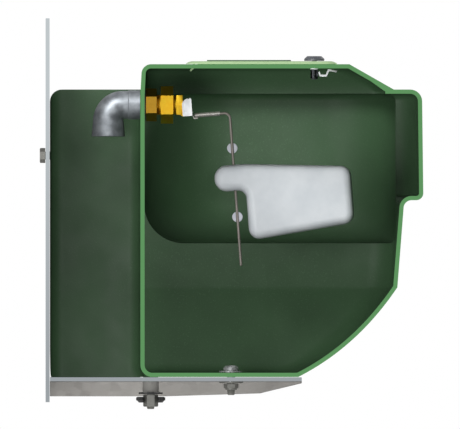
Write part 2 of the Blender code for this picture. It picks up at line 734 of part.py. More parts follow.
def make_elbow(material):
    """A cast half-inch elbow, swept round its bend and left hollow. It swells to its lower mouth."""
    end_x = NICHE_END_X - SEAT
    bore = HALF_INCH_THREAD / 2 + SEAT
    bend_x, bend_z = ELBOW_DROP_X + ELBOW_BEND, VALVE_Z - ELBOW_BEND
    stations = []
    down = Vector((0, 0, 1))
    for z, radius in ((ELBOW_BOTTOM_Z, ELBOW_MOUTH_RADIUS - ELBOW_EDGE),
                      (ELBOW_BOTTOM_Z + ELBOW_EDGE, ELBOW_MOUTH_RADIUS)):
        stations.append((Vector((ELBOW_DROP_X, 0, z)), down, radius))
    for i in range(9):
        a = math.radians(180 - 90 * i / 8)
        place = Vector((bend_x + ELBOW_BEND * math.cos(a), 0, bend_z + ELBOW_BEND * math.sin(a)))
        radius = ELBOW_RADIUS + ELBOW_SWELL * (1 - i / 8)
        stations.append((place, Vector((math.sin(a), 0, -math.cos(a))), radius))
    band_x = end_x - ELBOW_BAND
    for x, radius in ((band_x, ELBOW_RADIUS), (band_x + ELBOW_EDGE, ELBOW_BAND_RADIUS),
                      (end_x, ELBOW_BAND_RADIUS)):
        stations.append((Vector((x, 0, VALVE_Z)), Vector((1, 0, 0)), radius))
    rings = []
    for inner in (False, True):
        run = [(p, d, bore if inner else r) for p, d, r in stations]
        for place, along, radius in (reversed(run) if inner else run):
            across = Vector((0, 1, 0)).cross(along)
            ring = [place + radius * (math.cos(a) * Vector((0, 1, 0)) + math.sin(a) * across)
                    for a in [math.tau * i / ROUND_STEPS for i in range(ROUND_STEPS)]]
            rings.append(ring)
    return dress(new_object("supply_elbow", tube_skin(rings)), material)


def make_valve(brass, rubber, steel):
    """Brass body on a tail that runs through the wall into the elbow, with its backnut and gasket."""
    wall_x = NICHE_END_X + WALL
    gasket_x = wall_x + SEAT
    nut_x = gasket_x + GASKET_THICK + SEAT
    hex_x = nut_x + BACKNUT_LENGTH + THREAD_SHOW
    nozzle_x = hex_x + BODY_HEX_LENGTH
    face_x = nozzle_x + NOZZLE_LENGTH
    thread = HALF_INCH_THREAD / 2
    axis = (1, 0, 0)
    washer("inlet_gasket", (gasket_x, 0, VALVE_Z), axis, GASKET_THICK, rubber,
           radius=GASKET_RADIUS, hole=thread + SEAT)
    hex_nut("backnut", (nut_x, 0, VALVE_Z), axis, BACKNUT_LENGTH, brass,
            across=BACKNUT_ACROSS_FLATS, hole=thread + SEAT, phase=CORNER_UP)
    corner = BODY_ACROSS_FLATS / 2 / math.cos(math.pi / 6)
    tail_x = NICHE_END_X - TAIL_INTO_ELBOW
    bore, jet = VALVE_BORE / 2, NOZZLE_BORE / 2
    chamfer = VALVE_CHAMFER
    neck = NOZZLE_RADIUS - NOZZLE_GROOVE
    profile = [(bore, tail_x), (thread, tail_x), (thread, hex_x), (corner - chamfer, hex_x),
               (corner, hex_x + chamfer), (corner, nozzle_x - chamfer), (corner - chamfer, nozzle_x),
               (neck, nozzle_x), (neck, nozzle_x + NOZZLE_NECK), (NOZZLE_RADIUS, nozzle_x + NOZZLE_NECK),
               (NOZZLE_RADIUS, face_x), (jet, face_x), (jet, face_x - JET_LENGTH),
               (bore, face_x - JET_LENGTH)]
    ring = turned_ring(profile, (0, 0, VALVE_Z), axis, steps=HEX_STEPS, sides=(3, 4, 5, 6), phase=CORNER_UP)
    body = new_object("valve_body", ring)
    lug = round_bar(LUG_RADIUS, (PIVOT_X, -LUG_HALF, PIVOT_Z), (PIVOT_X, LUG_HALF, PIVOT_Z),
                    steps=SMALL_STEPS)
    combine(body, new_object("lug", lug), "UNION")
    arm_half = LUG_RADIUS * 0.9
    arm = box((face_x - CUT_PAST, -LUG_HALF, PIVOT_Z - arm_half), (PIVOT_X, LUG_HALF, PIVOT_Z + arm_half))
    combine(body, new_object("arm", arm), "UNION")
    hole = round_bar(PIN / 2 + SEAT, (PIVOT_X, -LUG_HALF - CUT_SLIGHT, PIVOT_Z),
                     (PIVOT_X, LUG_HALF + CUT_SLIGHT, PIVOT_Z), steps=SMALL_STEPS)
    combine(body, new_object("hole", hole))
    dress(body, brass)
    reach = NOZZLE_RADIUS + RUNNING + CHEEK_THICK + SEAT * 2
    pin = round_bar(PIN / 2, (PIVOT_X, -reach, PIVOT_Z), (PIVOT_X, reach, PIVOT_Z), steps=SMALL_STEPS)
    dress(new_object("pivot_pin", pin), steel)
    return face_x


def tilted_empty():
    """The lever's frame: its origin is on the pin's axis, and it leans by the lever's tilt."""
    empty = bpy.data.objects.new("lever_frame", None)
    bpy.context.scene.collection.objects.link(empty)
    empty.location = (PIVOT_X, 0, PIVOT_Z)
    empty.rotation_euler = (0, -LEVER_TILT, 0)
    bpy.context.view_layer.update()
    return empty


def make_clapper(frame, white, rubber, face_x):
    """A white cap over the nozzle: a plate with two cheeks, cut out for the lug and the pin."""
    cheek_in = NOZZLE_RADIUS + RUNNING
    half = cheek_in + CHEEK_THICK
    outline = rounded([(CLAPPER_REAR, CLAPPER_BOTTOM, 0), (CLAPPER_REAR, CLAPPER_TOP, CLAPPER_ROUND),
                       (CLAPPER_FRONT, CLAPPER_TOP, 0), (CLAPPER_FRONT, CLAPPER_BOTTOM, 0)])
    clapper = new_object("clapper", slab(outline, -half, half), parent=frame)
    seal_end = face_x + SEAT + SEAL_THICK
    low, high = PIVOT_Z - 2 * CLAPPER_TOP, PIVOT_Z + 2 * CLAPPER_TOP
    combine(clapper, new_object("pocket", box((face_x - 0.5 * CLAPPER_TOP, -cheek_in, low),
                                              (seal_end + SEAT, cheek_in, high))))
    slot = LUG_RADIUS + RUNNING
    slot_high = PIVOT_Z + slot + CUT_SLIGHT
    combine(clapper, new_object("slot", box((PIVOT_X - CUT_PAST, -LUG_HALF - RUNNING, low),
                                            (PIVOT_X + slot + RUNNING, LUG_HALF + RUNNING, slot_high))))
    combine(clapper, new_object("hole", round_bar(PIN / 2 + SEAT, (PIVOT_X, -half - CUT_SLIGHT, PIVOT_Z),
                                                  (PIVOT_X, half + CUT_SLIGHT, PIVOT_Z), steps=SMALL_STEPS)))
    dress(clapper, white)
    disc = round_bar(SEAL_RADIUS, (face_x + SEAT, 0, VALVE_Z), (seal_end, 0, VALVE_Z))
    seal = new_object("clapper_seal", disc)
    seal.parent = frame
    seal.matrix_parent_inverse = frame.matrix_world.inverted()
    dress(seal, rubber)


def make_lever(frame, steel):
    """The sleeve, the strap that ties it to the clapper, and the bent rod inside it."""
    z = -SLEEVE_DROP
    profile = [(ROD / 2 + SEAT, 0), (SLEEVE_RADIUS, 0), (SLEEVE_RADIUS, SLEEVE_END - SLEEVE_START),
               (ROD / 2 + SEAT, SLEEVE_END - SLEEVE_START)]
    sleeve = turned_ring(profile, (SLEEVE_START, 0, z), (1, 0, 0), steps=14)
    dress(new_object("lever_sleeve", sleeve, parent=frame), steel)
    under = z - SLEEVE_RADIUS - SEAT
    face, bend, tip = CLAPPER_FRONT + SEAT, CLAPPER_FRONT + 4 * SEAT, SLEEVE_START + STRAP_UNDER
    line = [(face, STRAP_TOP), (face, z - STRAP_THICK), (bend, under - STRAP_THICK),
            (tip, under - STRAP_THICK), (tip, under), (bend + STRAP_THICK, under),
            (face + STRAP_THICK, z - STRAP_THICK - SEAT), (face + STRAP_THICK, STRAP_TOP)]
    strap = new_object("lever_strap", slab(line, -STRAP_HALF, STRAP_HALF), parent=frame)
    dress(strap, steel)
    centre_x, centre_z = ROD_X - ROD_BEND, z - ROD_BEND
    path = [Vector((SLEEVE_START + ROD_INSET, 0, z))]
    path += [Vector((x, 0, y)) for x, y in arc(centre_x, centre_z, ROD_BEND, 90, 0, 5)]
    path.append(Vector((ROD_X, 0, ROD_BOTTOM)))
    rings = []
    for i, place in enumerate(path):
        before = path[max(i - 1, 0)]
        after = path[min(i + 1, len(path) - 1)]
        if i == 1:
            before = path[0]
            after = place + (place - before)
        if i == len(path) - 2:
            before = place + (place - after)
        across = Vector((0, 1, 0)).cross((after - before).normalized())
        rings.append([place + ROD / 2 * (math.cos(a) * Vector((0, 1, 0)) + math.sin(a) * across)
                      for a in [math.tau * k / 12 for k in range(12)]])
    dress(new_object("float_rod", loft(rings), parent=frame), steel)


def make_stops(frame, white):
    """Two round clips behind the rod, each with a groove that the rod snaps into."""
    for name, z in (("stop_upper", STOP_UPPER), ("stop_lower", STOP_LOWER)):
        front = -ROD * 0.15
        disc = round_bar(STOP_RADIUS, (ROD_X, front, z), (ROD_X, front + STOP_THICK, z))
        clip = new_object(name, disc, parent=frame)
        reach = STOP_RADIUS + CUT_SLIGHT
        groove = round_bar(ROD / 2 + SEAT, (ROD_X, 0, z - reach), (ROD_X, 0, z + reach), steps=12)
        combine(clip, new_object("groove", groove, parent=frame))
        dress(clip, white)


def make_float(frame, plastic):
    """A closed float with an arm that grips the rod, thinner towards its rounded edges."""
    front_top = ARM_TOP - FLOAT_TOP_FALL * (FLOAT_FRONT - FLOAT_REAR)
    front_bottom = FLOAT_BOTTOM + FLOAT_BOTTOM_RISE * (FLOAT_FRONT - FLOAT_REAR)
    outline = rounded([(ARM_END, ARM_BOTTOM, ARM_ROUND), (ARM_END, ARM_TOP, ARM_ROUND),
                       (FLOAT_REAR, ARM_TOP, 0), (FLOAT_FRONT, front_top, FLOAT_ROUND),
                       (FLOAT_FRONT, front_bottom, FLOAT_ROUND), (FLOAT_REAR, FLOAT_BOTTOM, FLOAT_ROUND),
                       (FLOAT_REAR, ARM_BOTTOM, ARM_CROOK)], steps=5)
    rings = []
    steps = 4
    for side in (-1, 1):
        for i in range(steps + 1):
            a = math.radians(90 * (i if side < 0 else steps - i) / steps)
            y = side * (FLOAT_HALF - FLOAT_EDGE * (1 - math.cos(math.pi / 2 - a)))
            drawn = inset(outline, FLOAT_EDGE * (1 - math.sin(a)))
            rings.append([Vector((p.x, y, p.y)) for p in drawn])
    body = new_object("float", loft(rings), parent=frame)
    bore = round_bar(ROD / 2 + RUNNING, (ROD_X, 0, ARM_BOTTOM - CUT_PAST),
                     (ROD_X, 0, ARM_TOP + CUT_PAST), steps=12)
    combine(body, new_object("bore", bore, parent=frame))
    dress(body, plastic)


def hatch_frame():
    """The lid's frame, with its origin on the line that the lid tilts about."""
    empty = bpy.data.objects.new("lid_frame", None)
    bpy.context.scene.collection.objects.link(empty)
    empty.location = (LID_REAR_X, 0, HOOD_TOP_Z + SEAT)
    bpy.context.view_layer.update()
    return empty


def hold(item, frame):
    """Parents an object that was modelled in world places, and leaves it where it is."""
    item.parent = frame
    item.matrix_parent_inverse = frame.matrix_world.inverted()


def make_lid(frame, plastic):
    low, high = HOOD_TOP_Z + SEAT, HOOD_TOP_Z + SEAT + LID_THICK
    half = HATCH_HALF + LID_OVERLAP
    rings = []
    for z, draw in ((low, 0.0), (high, LID_SLOPE)):
        ring = plan_ring(z, LID_REAR_X + draw, LID_FRONT_X - draw, (half - draw * 0.4,) * 2,
                         (LID_CORNER - draw * 0.4,) * 2)
        rings.append(ring)
    lid = new_object("hatch_lid", loft(rings))
    plug = box((LID_PLUG_REAR_X, -HATCH_HALF + RUNNING, HOOD_TOP_Z - LID_PLUG_THICK),
               (HATCH_FRONT_X + LID_FLANGE_REACH, HATCH_HALF - RUNNING, low + LID_THICK * 0.5))
    past = CUT_SLIGHT
    front_face = box((LID_FRONT_X - past / 2, -HATCH_HALF - past, HOOD_TOP_Z),
                     (HATCH_FRONT_X + LID_FLANGE_REACH + past, HATCH_HALF + past, high + past))
    plug_object = combine(new_object("plug", plug), new_object("trim", front_face))
    combine(lid, plug_object, "UNION")
    pad = box((PAD_REAR_X, -PAD_HALF, high - past), (PAD_REAR_X + PAD_LENGTH, PAD_HALF, high + PAD_HEIGHT))
    combine(lid, new_object("pad", pad), "UNION")
    rings = []
    for i in range(7):
        a = -HOOK_SWEEP * i / 6 if i else HOOK_START
        inner, outer = HOOK_RADIUS - HOOK_THICK / 2, HOOK_RADIUS + HOOK_THICK / 2
        spots = [(inner, -HOOK_HALF), (outer, -HOOK_HALF), (outer, HOOK_HALF), (inner, HOOK_HALF)]
        rings.append([Vector((LID_REAR_X + r * math.cos(a), y, low + r * math.sin(a))) for r, y in spots])
    combine(lid, new_object("hook", loft(rings)), "UNION")
    hole = round_bar(LATCH_SHANK / 2 + SEAT, (LATCH_X, 0, HOOD_TOP_Z - LID_PLUG_THICK - past),
                     (LATCH_X, 0, high + past), steps=SMALL_STEPS)
    combine(lid, new_object("hole", hole))
    dress(lid, plastic)
    hold(lid, frame)


def make_latch(frame, dark, white, bright):
    """Slotted head on the lid, with a collar, a nut and a bent tongue under it."""
    head_z = HOOD_TOP_Z + SEAT + LID_THICK + SEAT
    top_z = head_z + LATCH_HEAD_HEIGHT
    nut_top = LATCH_COLLAR_BOTTOM_Z - SEAT
    nut_low = nut_top - LATCH_NUT_HEIGHT
    end_z = nut_low - LATCH_SHANK_SHOW
    turn = bpy.data.objects.new("latch_frame", None)
    bpy.context.scene.collection.objects.link(turn)
    turn.location = (LATCH_X, 0, head_z)
    bpy.context.view_layer.update()
    hold(turn, frame)
    bpy.context.view_layer.update()
    profile = [(0, end_z), (LATCH_SHANK / 2, end_z), (LATCH_SHANK / 2, head_z), (LATCH_HEAD_RADIUS, head_z),
               (LATCH_HEAD_RADIUS, top_z - LATCH_CHAMFER),
               (LATCH_HEAD_RADIUS - LATCH_CHAMFER, top_z), (0, top_z)]
    bolt = new_object("latch_bolt", turned(profile, (LATCH_X, 0, 0), (0, 0, 1)))
    slot = box((LATCH_X - LATCH_HEAD_RADIUS, -LATCH_SLOT / 2, top_z - LATCH_SLOT_DEPTH),
               (LATCH_X + LATCH_HEAD_RADIUS, LATCH_SLOT / 2, top_z + CUT_SLIGHT))
    combine(bolt, new_object("slot", slot))
    hold(dress(bolt, dark), turn)
    collar_top = HOOD_TOP_Z - LID_PLUG_THICK - SEAT
    hole = LATCH_SHANK / 2 + SEAT
    height = collar_top - LATCH_COLLAR_BOTTOM_Z
    hold(washer("latch_collar", (LATCH_X, 0, LATCH_COLLAR_BOTTOM_Z), (0, 0, 1), height, white,
                radius=LATCH_COLLAR_RADIUS, hole=hole), turn)
    hold(washer("latch_nut", (LATCH_X, 0, nut_low), (0, 0, 1), LATCH_NUT_HEIGHT, dark,
                radius=LATCH_NUT_RADIUS, hole=hole), turn)
    strip = LATCH_STRIP
    start = LATCH_X + LATCH_NUT_RADIUS + SEAT
    tip = LATCH_X + LATCH_REACH
    top = LATCH_COLLAR_BOTTOM_Z
    dip, nose = top - TONGUE_DIP, top - TONGUE_NOSE
    rise_x, crest_x = start + TONGUE_FOOT, start + TONGUE_FOOT + TONGUE_RISE
    flat_x, bend = crest_x + TONGUE_CREST, strip * 0.6
    foot = top - TONGUE_START
    line = [(start, foot), (start + bend, foot), (start + 2 * bend, dip), (rise_x, dip), (crest_x, top),
            (flat_x, top), (tip, nose), (tip - SEAT, nose - strip), (flat_x, top - strip),
            (crest_x + bend, top - strip), (rise_x + bend, dip - strip), (start + bend, dip - strip),
            (start, dip + bend)]
    tongue = new_object("latch_tongue", slab(line, -LATCH_STRIP_HALF, LATCH_STRIP_HALF))
    hold(dress(tongue, bright), turn)


def make_drain(steel, rubber, black):
    """A plug that screws up into the tub's spout: stud, washer, nut and a black hand knob."""
    washer_z = SPOUT_END_Z - SEAT
    nut_z = washer_z - DRAIN_WASHER_THICK - SEAT
    end_z = nut_z - DRAIN_NUT_LENGTH - DRAIN_STUD_END
    frame = bpy.data.objects.new("drain_frame", None)
    bpy.context.scene.collection.objects.link(frame)
    frame.location = (DRAIN_X, 0, washer_z)
    bpy.context.view_layer.update()
    hold(washer("drain_washer", (DRAIN_X, 0, washer_z), (0, 0, -1), DRAIN_WASHER_THICK, rubber), frame)
    nut_radius = M8_ACROSS_FLATS / 2 / math.cos(math.pi / 6)
    hold(hex_nut("drain_nut", (DRAIN_X, 0, nut_z), (0, 0, -1), DRAIN_NUT_LENGTH, steel), frame)
    knob_z = nut_z - DRAIN_KNOB_DROP
    height, radius = DRAIN_KNOB_HEIGHT, DRAIN_KNOB_RADIUS
    hole = nut_radius + SEAT
    profile = [(hole, 0), (radius, 0), (radius, height * 0.6), (radius - DRAIN_KNOB_CHAMFER, height),
               (hole, height)]
    knob = turned_ring(profile, (DRAIN_X, 0, knob_z), (0, 0, -1), steps=HEX_STEPS)
    hold(dress(new_object("drain_knob", knob), black), frame)
    stud = round_bar(M8 / 2, (DRAIN_X, 0, end_z), (DRAIN_X, 0, SPOUT_END_Z + DRAIN_STUD_INSIDE),
                     steps=SMALL_STEPS)
    hold(dress(new_object("drain_stud", stud), steel), frame)


def main():
    clear_scene()
    green = finish("green_polyethylene", (0.22, 0.33, 0.22), 0.45)
    lid_green = finish("light_green_polyethylene", (0.38, 0.57, 0.38), 0.45)
    zinc = finish("galvanised_steel", (0.68, 0.70, 0.72), 0.45, 0.8)
    steel = finish("stainless_steel", (0.62, 0.60, 0.58), 0.30, 1.0)
    iron = finish("galvanised_iron", (0.45, 0.46, 0.48), 0.40, 0.8)
    brass = finish("brass", (0.90, 0.68, 0.18), 0.30, 1.0)
    rubber = finish("black_rubber", (0.05, 0.05, 0.05), 0.70)
    white = finish("white_acetal", (0.92, 0.93, 0.95), 0.40)
    float_plastic = finish("grey_white_polypropylene", (0.78, 0.81, 0.83), 0.50)
    dark = finish("dark_nylon", (0.30, 0.31, 0.34), 0.50)
    black = finish("black_nylon", (0.07, 0.07, 0.08), 0.55)
    make_tub(green)
    make_back_plate(zinc)
    make_shelf(zinc)
    make_rear_fixings(steel)
    make_floor_fixings(steel)
    make_elbow(iron)
    face_x = make_valve(brass, rubber, steel)
    lever = tilted_empty()
    make_clapper(lever, white, rubber, face_x)
    make_lever(lever, steel)
    make_stops(lever, white)
    make_float(lever, float_plastic)
    lid = hatch_frame()
    make_lid(lid, lid_green)
    make_latch(lid, dark, white, steel)
    make_drain(steel, rubber, black)


main()
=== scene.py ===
import math

import bmesh
import bpy
from mathutils import Matrix, Vector


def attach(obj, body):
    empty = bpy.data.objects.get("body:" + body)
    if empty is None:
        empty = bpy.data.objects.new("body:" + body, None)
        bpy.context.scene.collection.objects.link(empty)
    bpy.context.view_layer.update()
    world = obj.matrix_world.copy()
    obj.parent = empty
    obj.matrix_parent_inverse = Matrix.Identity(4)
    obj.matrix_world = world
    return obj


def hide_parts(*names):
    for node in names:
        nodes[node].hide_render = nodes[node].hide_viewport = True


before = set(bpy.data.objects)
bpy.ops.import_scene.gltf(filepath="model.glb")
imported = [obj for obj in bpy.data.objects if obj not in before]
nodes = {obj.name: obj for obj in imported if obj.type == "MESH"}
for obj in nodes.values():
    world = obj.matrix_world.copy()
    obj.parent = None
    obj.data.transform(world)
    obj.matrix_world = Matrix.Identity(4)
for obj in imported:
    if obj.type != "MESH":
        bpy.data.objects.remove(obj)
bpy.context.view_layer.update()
scene = bpy.context.scene
scene.view_settings.view_transform = "Standard"
print("frame loaded:", len(nodes), "nodes")

sectionY = -0.045  # the picture is a section: the camera sees what lies behind this plane
behindCut = 2e-5  # how far behind it the faces of the cut colour lie
valveZ = 0.2724  # the height of the valve's axis
cutPast = 0.002  # how far a cutter runs past what it cuts
overlap = 0.001  # the same for short cutters, and for a piece that reaches into the one it joins
weld, cutWeld = 1e-6, 4e-6  # points nearer than this are one point, in a new shape and after cuts


def linear(hexColour):
    parts = [int(hexColour[i:i + 2], 16) / 255 for i in (1, 3, 5)]
    return (*[((c + 0.055) / 1.055) ** 2.4 if c > 0.04045 else c / 12.92 for c in parts], 1.0)


def addNode(tree, kind, settings=None, links=None):  # lower-case keys are properties, others are sockets
    node = tree.nodes.new(kind)
    for key, value in (settings or {}).items():
        if isinstance(key, str) and key[0].islower():
            setattr(node, key, value)
        else:
            node.inputs[key].default_value = value
    for key, source in (links or {}).items():
        tree.links.new(source, node.inputs[key])
    return node


def newMaterial(name, roughness, metallic=0.0, ior=None):
    made = bpy.data.materials.new(name)
    made.use_nodes = True
    tree = made.node_tree
    shader = tree.nodes["Principled BSDF"]
    shader.inputs["Roughness"].default_value = roughness
    shader.inputs["Metallic"].default_value = metallic
    if ior:
        shader.inputs["IOR"].default_value = ior
    place = addNode(tree, "ShaderNodeTexCoord").outputs["Object"]
    return made, tree, shader, place


# where a noise pattern's values mostly lie, mapped to the whole range from 0 to 1
middling = {"From Min": 0.3, "From Max": 0.7}


def coat(tree, shader, mask, dark, light, gloss, skin, depth, sheen=None):
    # colour and gloss follow the mask, or gloss its own sheen, and the skin stands out by a depth in metres
    tones = {"data_type": "RGBA", 6: linear(dark), 7: linear(light)}
    colour = addNode(tree, "ShaderNodeMix", tones, {0: mask})
    span = {"To Min": gloss[0], "To Max": gloss[1]}
    satin = addNode(tree, "ShaderNodeMapRange", span, {"Value": sheen or mask})
    relief = {"Strength": 1.0, "Distance": depth}
    bump = addNode(tree, "ShaderNodeBump", relief, {"Height": skin.outputs["Fac"]})
    for source, socket in ((colour.outputs[2], "Base Color"), (satin.outputs["Result"], "Roughness"),
                           (bump.outputs["Normal"], "Normal")):
        tree.links.new(source, shader.inputs[socket])
    return colour, bump


def mouldedPolyethylene(name, dark, light, fleck):
    # roto-moulded in an aluminium tool: satin, with clouds of 90 mm in the green, swells of 45 mm, wear of
    # 25 mm, an orange peel of 2 mm, and powder flecks that are drawn 1.4 mm wide so that they show
    made, tree, shader, place = newMaterial(name, 0.56, ior=1.48)
    shader.inputs["Specular IOR Level"].default_value = 0.3
    clouds = addNode(tree, "ShaderNodeTexNoise", {"Scale": 11, "Detail": 3}, {"Vector": place})
    spread = addNode(tree, "ShaderNodeMapRange", middling, {"Value": clouds.outputs["Fac"]})
    wear = addNode(tree, "ShaderNodeTexNoise", {"Scale": 40, "Detail": 2}, {"Vector": place})
    worn = addNode(tree, "ShaderNodeMapRange", middling, {"Value": wear.outputs["Fac"]})
    peel = addNode(tree, "ShaderNodeTexNoise", {"Scale": 450, "Detail": 2}, {"Vector": place})
    ground, fine = coat(tree, shader, spread.outputs["Result"], dark, light, (0.52, 0.62), peel, 0.00005,
                        worn.outputs["Result"])
    powder = addNode(tree, "ShaderNodeTexNoise", {"Scale": 700, "Detail": 1}, {"Vector": place})
    flecks = addNode(tree, "ShaderNodeMapRange", {"From Min": 0.60, "From Max": 0.74, "To Max": 0.25},
                     {"Value": powder.outputs["Fac"]})
    flecked = addNode(tree, "ShaderNodeMix", {"data_type": "RGBA", 7: linear(fleck)},
                      {0: flecks.outputs["Result"], 6: ground.outputs[2]})
    tree.links.new(flecked.outputs[2], shader.inputs["Base Color"])
    swell = addNode(tree, "ShaderNodeTexNoise", {"Scale": 22, "Detail": 1}, {"Vector": place})
    slow = addNode(tree, "ShaderNodeBump", {"Strength": 1.0, "Distance": 0.0003},
                   {"Height": swell.outputs["Fac"]})
    tree.links.new(slow.outputs["Normal"], fine.inputs["Normal"])
    return made


def hotDipZinc(name, dark, light):
    # hot-dip galvanised sheet: faint spangles of 8 mm in near greys, some matt where the zinc has dulled,
    # clouds of 60 mm and runs of 12 mm
    made, tree, shader, place = newMaterial(name, 0.46, metallic=0.6)
    cells = addNode(tree, "ShaderNodeTexVoronoi", {"Scale": 130, "Randomness": 1.0}, {"Vector": place})
    spangle = addNode(tree, "ShaderNodeSeparateColor", {}, {"Color": cells.outputs["Color"]})
    clouds = addNode(tree, "ShaderNodeTexNoise", {"Scale": 17, "Detail": 3}, {"Vector": place})
    blend = addNode(tree, "ShaderNodeMath", {"operation": "MULTIPLY_ADD", 1: 0.35},
                    {0: spangle.outputs[0], 2: clouds.outputs["Fac"]})
    tone = addNode(tree, "ShaderNodeMapRange", {"From Min": 0.35, "From Max": 1.0},
                   {"Value": blend.outputs[0]})
    runs = addNode(tree, "ShaderNodeTexNoise", {"Scale": 85, "Detail": 2}, {"Vector": place})
    coat(tree, shader, tone.outputs["Result"], dark, light, (0.44, 0.52), runs, 0.00004, spangle.outputs[1])
    return made


def castZinc(name, dark, light):
    # galvanised malleable iron: the zinc lies over a cast skin with 1 mm sand and is duller in patches of 8 mm
    made, tree, shader, place = newMaterial(name, 0.34, metallic=0.7)
    clouds = addNode(tree, "ShaderNodeTexNoise", {"Scale": 120, "Detail": 4}, {"Vector": place})
    spread = addNode(tree, "ShaderNodeMapRange", {"From Min": 0.35, "From Max": 0.65},
                     {"Value": clouds.outputs["Fac"]})
    sand = addNode(tree, "ShaderNodeTexNoise", {"Scale": 900, "Detail": 3}, {"Vector": place})
    coat(tree, shader, spread.outputs["Result"], dark, light, (0.38, 0.48), sand, 0.00008)
    return made


def turnedBrass(name, dark, light):
    # bar brass from the lathe: the tool's rings are drawn 3 mm apart so that they show, with a tarnish of 8 mm
    made, tree, shader, place = newMaterial(name, 0.30, metallic=1.0)
    rings = addNode(tree, "ShaderNodeTexWave", {"wave_type": "BANDS", "bands_direction": "X", "Scale": 100},
                    {"Vector": place})
    tarnish = addNode(tree, "ShaderNodeTexNoise", {"Scale": 125, "Detail": 3}, {"Vector": place})
    spread = addNode(tree, "ShaderNodeMapRange", middling, {"Value": tarnish.outputs["Fac"]})
    coat(tree, shader, spread.outputs["Result"], light, dark, (0.28, 0.40), rings, 0.00001)
    return made


def brightSteel(name, grain, dark="#B4B1AB", light="#D9D7D2", roughness=0.20, metallic=1.0, depth=0.00001):
    # drawn or machined steel: a grain of 0.5 mm, drawn out to lines along the axis whose share is below 1
    made, tree, shader, place = newMaterial(name, roughness, metallic=metallic)
    along = addNode(tree, "ShaderNodeMapping", {"Scale": grain}, {"Vector": place})
    lines = addNode(tree, "ShaderNodeTexNoise", {"Scale": 2000, "Detail": 2},
                    {"Vector": along.outputs["Vector"]})
    spread = addNode(tree, "ShaderNodeMapRange", middling, {"Value": lines.outputs["Fac"]})
    coat(tree, shader, lines.outputs["Fac"], dark, light, (roughness, roughness + 0.14), lines, depth,
         spread.outputs["Result"])
    return made


def plainMoulding(name, dark, light, roughness, grain, depth, ior=1.5):  # grain and depth are in millimetres
    # small injection mouldings and rubber: an even colour with faint clouds of 18 mm, and a skin of fine grain
    made, tree, shader, place = newMaterial(name, roughness, ior=ior)
    clouds = addNode(tree, "ShaderNodeTexNoise", {"Scale": 55, "Detail": 3}, {"Vector": place})
    spread = addNode(tree, "ShaderNodeMapRange", middling, {"Value": clouds.outputs["Fac"]})
    skin = addNode(tree, "ShaderNodeTexNoise", {"Scale": 1000 / grain, "Detail": 2}, {"Vector": place})
    coat(tree, shader, spread.outputs["Result"], dark, light, (roughness - 0.04, roughness + 0.05), skin,
         depth / 1000)
    return made


def glowingCutFace(name, colour, foot=None):
    # painted light: the section faces glow in the flat tone they have in the picture, with no shading; where a
    # foot colour is given, painted shade makes them duller towards their foot
    made, tree, shader, place = newMaterial(name, 1.0)
    shader.inputs["Base Color"].default_value = (0, 0, 0, 1)
    shader.inputs["Specular IOR Level"].default_value = 0
    shader.inputs["Emission Color"].default_value = linear(colour)
    if foot:
        height = addNode(tree, "ShaderNodeSeparateXYZ", {}, {"Vector": place})
        share = addNode(tree, "ShaderNodeMapRange", {"From Min": 0.0, "From Max": 0.30},
                        {"Value": height.outputs["Z"]})
        blend = addNode(tree, "ShaderNodeMix", {"data_type": "RGBA", 6: linear(foot), 7: linear(colour)},
                        {0: share.outputs["Result"]})
        tree.links.new(blend.outputs[2], shader.inputs["Emission Color"])
    shader.inputs["Emission Strength"].default_value = 1
    return made


tubGreen = mouldedPolyethylene("greenMouldedPolyethylene", "#344C34", "#3D5A3D", "#557356")
lidGreen = mouldedPolyethylene("lightGreenMouldedPolyethylene", "#8FA97D", "#99B288", "#B0C6A2")
zincSheet = hotDipZinc("hotDipGalvanisedSheet", "#6E6C69", "#787673")
zincCast = castZinc("galvanisedMalleableIron", "#75797E", "#92979C")
brass = turnedBrass("turnedBrass", "#F2B62C", "#FFD23C")
# painted shade: a darker copy of the turned brass, for the backnut
shadedBrass = turnedBrass("shadedTurnedBrass", "#B98A2C", "#CFA038")
steelLevel = brightSteel("drawnStainlessLevel", (0.05, 1, 1))
# lit and shaded copies of one zinc-plated steel: painted light makes the floor bolt's head and inner washer
# paler, painted shade makes the parts under the shelf darker, and the rear bolts take the same darker copy;
# the darker copy is also rougher
litZinc = brightSteel("litZincPlatedSteel", (1, 1, 0.05), "#CDCFD1", "#DCDEDF", 0.15, 0.75, 0.000001)
shadedDullZinc = brightSteel("shadedDullZincPlatedSteel", (1, 1, 0.05), "#53534F", "#63635F", 0.48, 0.35)
# the spring strip's pale zinc is drawn near white as a painted highlight
highlitSpringSteel = brightSteel("highlitZincPlatedSpringSteel", (1, 1, 1), "#D5D8DA", "#E9EBED", 0.30, 0.3)
sleeveSteel = brightSteel("drawnTubeSteel", (1, 1, 1), "#C2BEB9", "#CFCBC6", 0.24, 0.8, 0.000001)
rodSteel = brightSteel("drawnRodSteel", (1, 1, 1), "#8D8680", "#98918B", 0.30, 0.6, 0.000001)
blackSteel = brightSteel("blackenedSteel", (1, 1, 0.05), "#5A5C61", "#6B6D72", 0.16)
